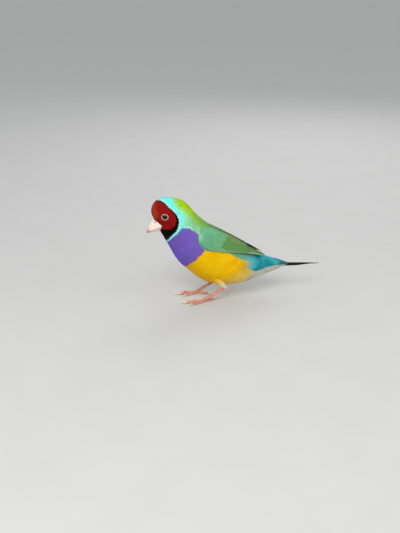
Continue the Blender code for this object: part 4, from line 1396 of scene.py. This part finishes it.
def groove_share(points, side, heel, ankle):
    """How far each place on a leg lies in the groove between two of its scutes."""
    axis = ankle - heel
    along_shank = (points - heel) @ axis / (axis @ axis)
    first, last = SCUTES_SPAN
    down_span = (along_shank - first) / (last - first)
    phase = np.interp(down_span, SCUTE_EDGES, range(len(SCUTE_EDGES)))
    height = points[:, 2]
    above_toes = step_up(height, 2.6, 3.2)
    share = above_toes * step_up(along_shank, first - 0.04, first) * groove_line(phase)
    nearest = np.full(len(points), 1.5)
    toe_share = np.zeros(len(points))
    for degrees, length, _ in TOES:
        path, ahead = toe_path(side, ankle, degrees, length)
        offset = points - path[0]
        along = offset @ ahead
        away = np.abs(offset @ np.array((-ahead[1], ahead[0], 0.0)))
        phase = along / length * (len(path) - 1) * TOE_SCUTES
        closer = (away < nearest) & (along > 0)
        toe_share = np.where(closer, groove_line(phase), toe_share)
        nearest = np.where(closer, away, nearest)
    return share + (1 - above_toes) * toe_share * step_up(height, 0.4, 0.8)


def groove_line(phase):
    """1 at whole phases, falling to 0 within a fifth of a scute."""
    return step_up(np.abs(phase - np.round(phase)), 0.2, 0.04)


def toe_path(side, ankle, degrees, length):
    """Middle line of one toe from the ankle, and the way it points."""
    turn = math.radians(degrees) * side
    ahead = np.array((-math.cos(turn), math.sin(turn), 0.0))
    start = np.array((ankle[0], ankle[1], TOE_LEVEL))
    steps = len(TOE_LIFTS) - 1
    path = [start + ahead * length * i / steps + (0, 0, up) for i, up in enumerate(TOE_LIFTS)]
    return np.array(path), ahead


def add_claws(name, side, material):
    """Four curved claws, each with a blunt root in its toe."""
    ankle = np.array(LEGS[name]["ankle"])
    rows = 18
    parts = []
    for degrees, length, reach in TOES:
        path, ahead = toe_path(side, ankle, degrees, length)
        base = path[-1] - ahead * 0.15
        centres, radii = [], []
        for i in range(rows + 1):
            f = i / rows
            rise = 0.75 * math.sin(math.pi * min(f * 1.15, 1)) - (base[2] - 0.28) * f**2
            centres.append(base + ahead * (reach + 0.45) * f + (0, 0, rise))
            radii.append(0.5 * (1 - f) ** 0.8 + 0.09)
        parts.append(closed_object("part", *tube_mesh(centres, radii, 14), material))
    claws = join_objects(parts, f"claws_{name}")
    claws.data.shade_smooth()
    paint(claws.data, np.tile(tone(230, 214, 184), (len(claws.data.vertices), 1)))
    return claws


def main():
    rng = np.random.default_rng(SEED)
    add_camera_and_stage()
    materials = {
        "down": feather_material("plumage", 5.0, 0.7, 0.03),
        "vane": feather_material("flight_feather", 9.0, 0.6, 0.02),
        "skin": skin_material("under_skin", 0.8, 0.6, 0.2),
        "horn": skin_material("bill_keratin", 0.32, 1.2, 0.08, 0.25),
        "claw": skin_material("claw_keratin", 0.35, 0.7, 0.1, 0.2),
        "scale": skin_material("leg_scales", 0.5, 0.35, 0.35, 0.2),
        "lid": skin_material("lid_skin", 0.55, 0.25, 0.5, 0.2),
        "eye": eye_material(),
    }
    skin = add_skin(materials["skin"])
    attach(skin, "root")
    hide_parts("head", "neck", "torso", "tail", "thigh_left", "thigh_right")
    zones = (
        ("coat_face", 0.0, 4.2, "mask_feathers", 5),
        ("coat_head", 4.2, 6.9, "mask_feathers", 6),
        ("coat_neck", 6.9, 9.4, "neck_feathers", 8),
        ("coat_breast", 9.4, 12.0, "body_feathers", 9),
        ("coat_belly", 12.0, 15.2, "body_feathers", 9),
        ("coat_rump", 15.2, 18.8, "tail_feathers", 9),
    )
    for name, low_t, high_t, slot, strips in zones:
        coat = add_coat_zone(name, low_t, high_t, materials["down"], rng, strips)
        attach(coat, "root")
    for name, side in SIDES.items():
        wing = add_wing(name, side, materials["vane"], rng)
        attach(wing, "root")
        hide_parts(f"wing_{name}")
        coverts = add_lesser_coverts(name, side, materials["down"], rng)
        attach(coverts, "root")
        thigh = add_thigh_coat(name, materials["down"], rng)
        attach(thigh, "root")
        ball, lids = add_eye(name, side, materials)
        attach(ball, "root")
        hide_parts(f"eye_{name}")
        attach(lids, "root")
        leg = add_leg(name, side, materials["scale"])
        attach(leg, "root")
        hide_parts(f"shank_{name}", f"foot_{name}")
        claws = add_claws(name, side, materials["claw"])
        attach(claws, "root")
        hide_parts(*(f"claw_{name}_{i}" for i in range(1, 5)))
    tail = add_tail(materials["vane"], rng)
    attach(tail, "root")
    coverts = add_tail_coverts(materials["down"], rng)
    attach(coverts, "root")
    for name, upper in (("upper_bill", True), ("lower_bill", False)):
        bill = add_mandible(f"{name}_horn", upper, materials["horn"])
        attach(bill, "root")
        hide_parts(name)


main()
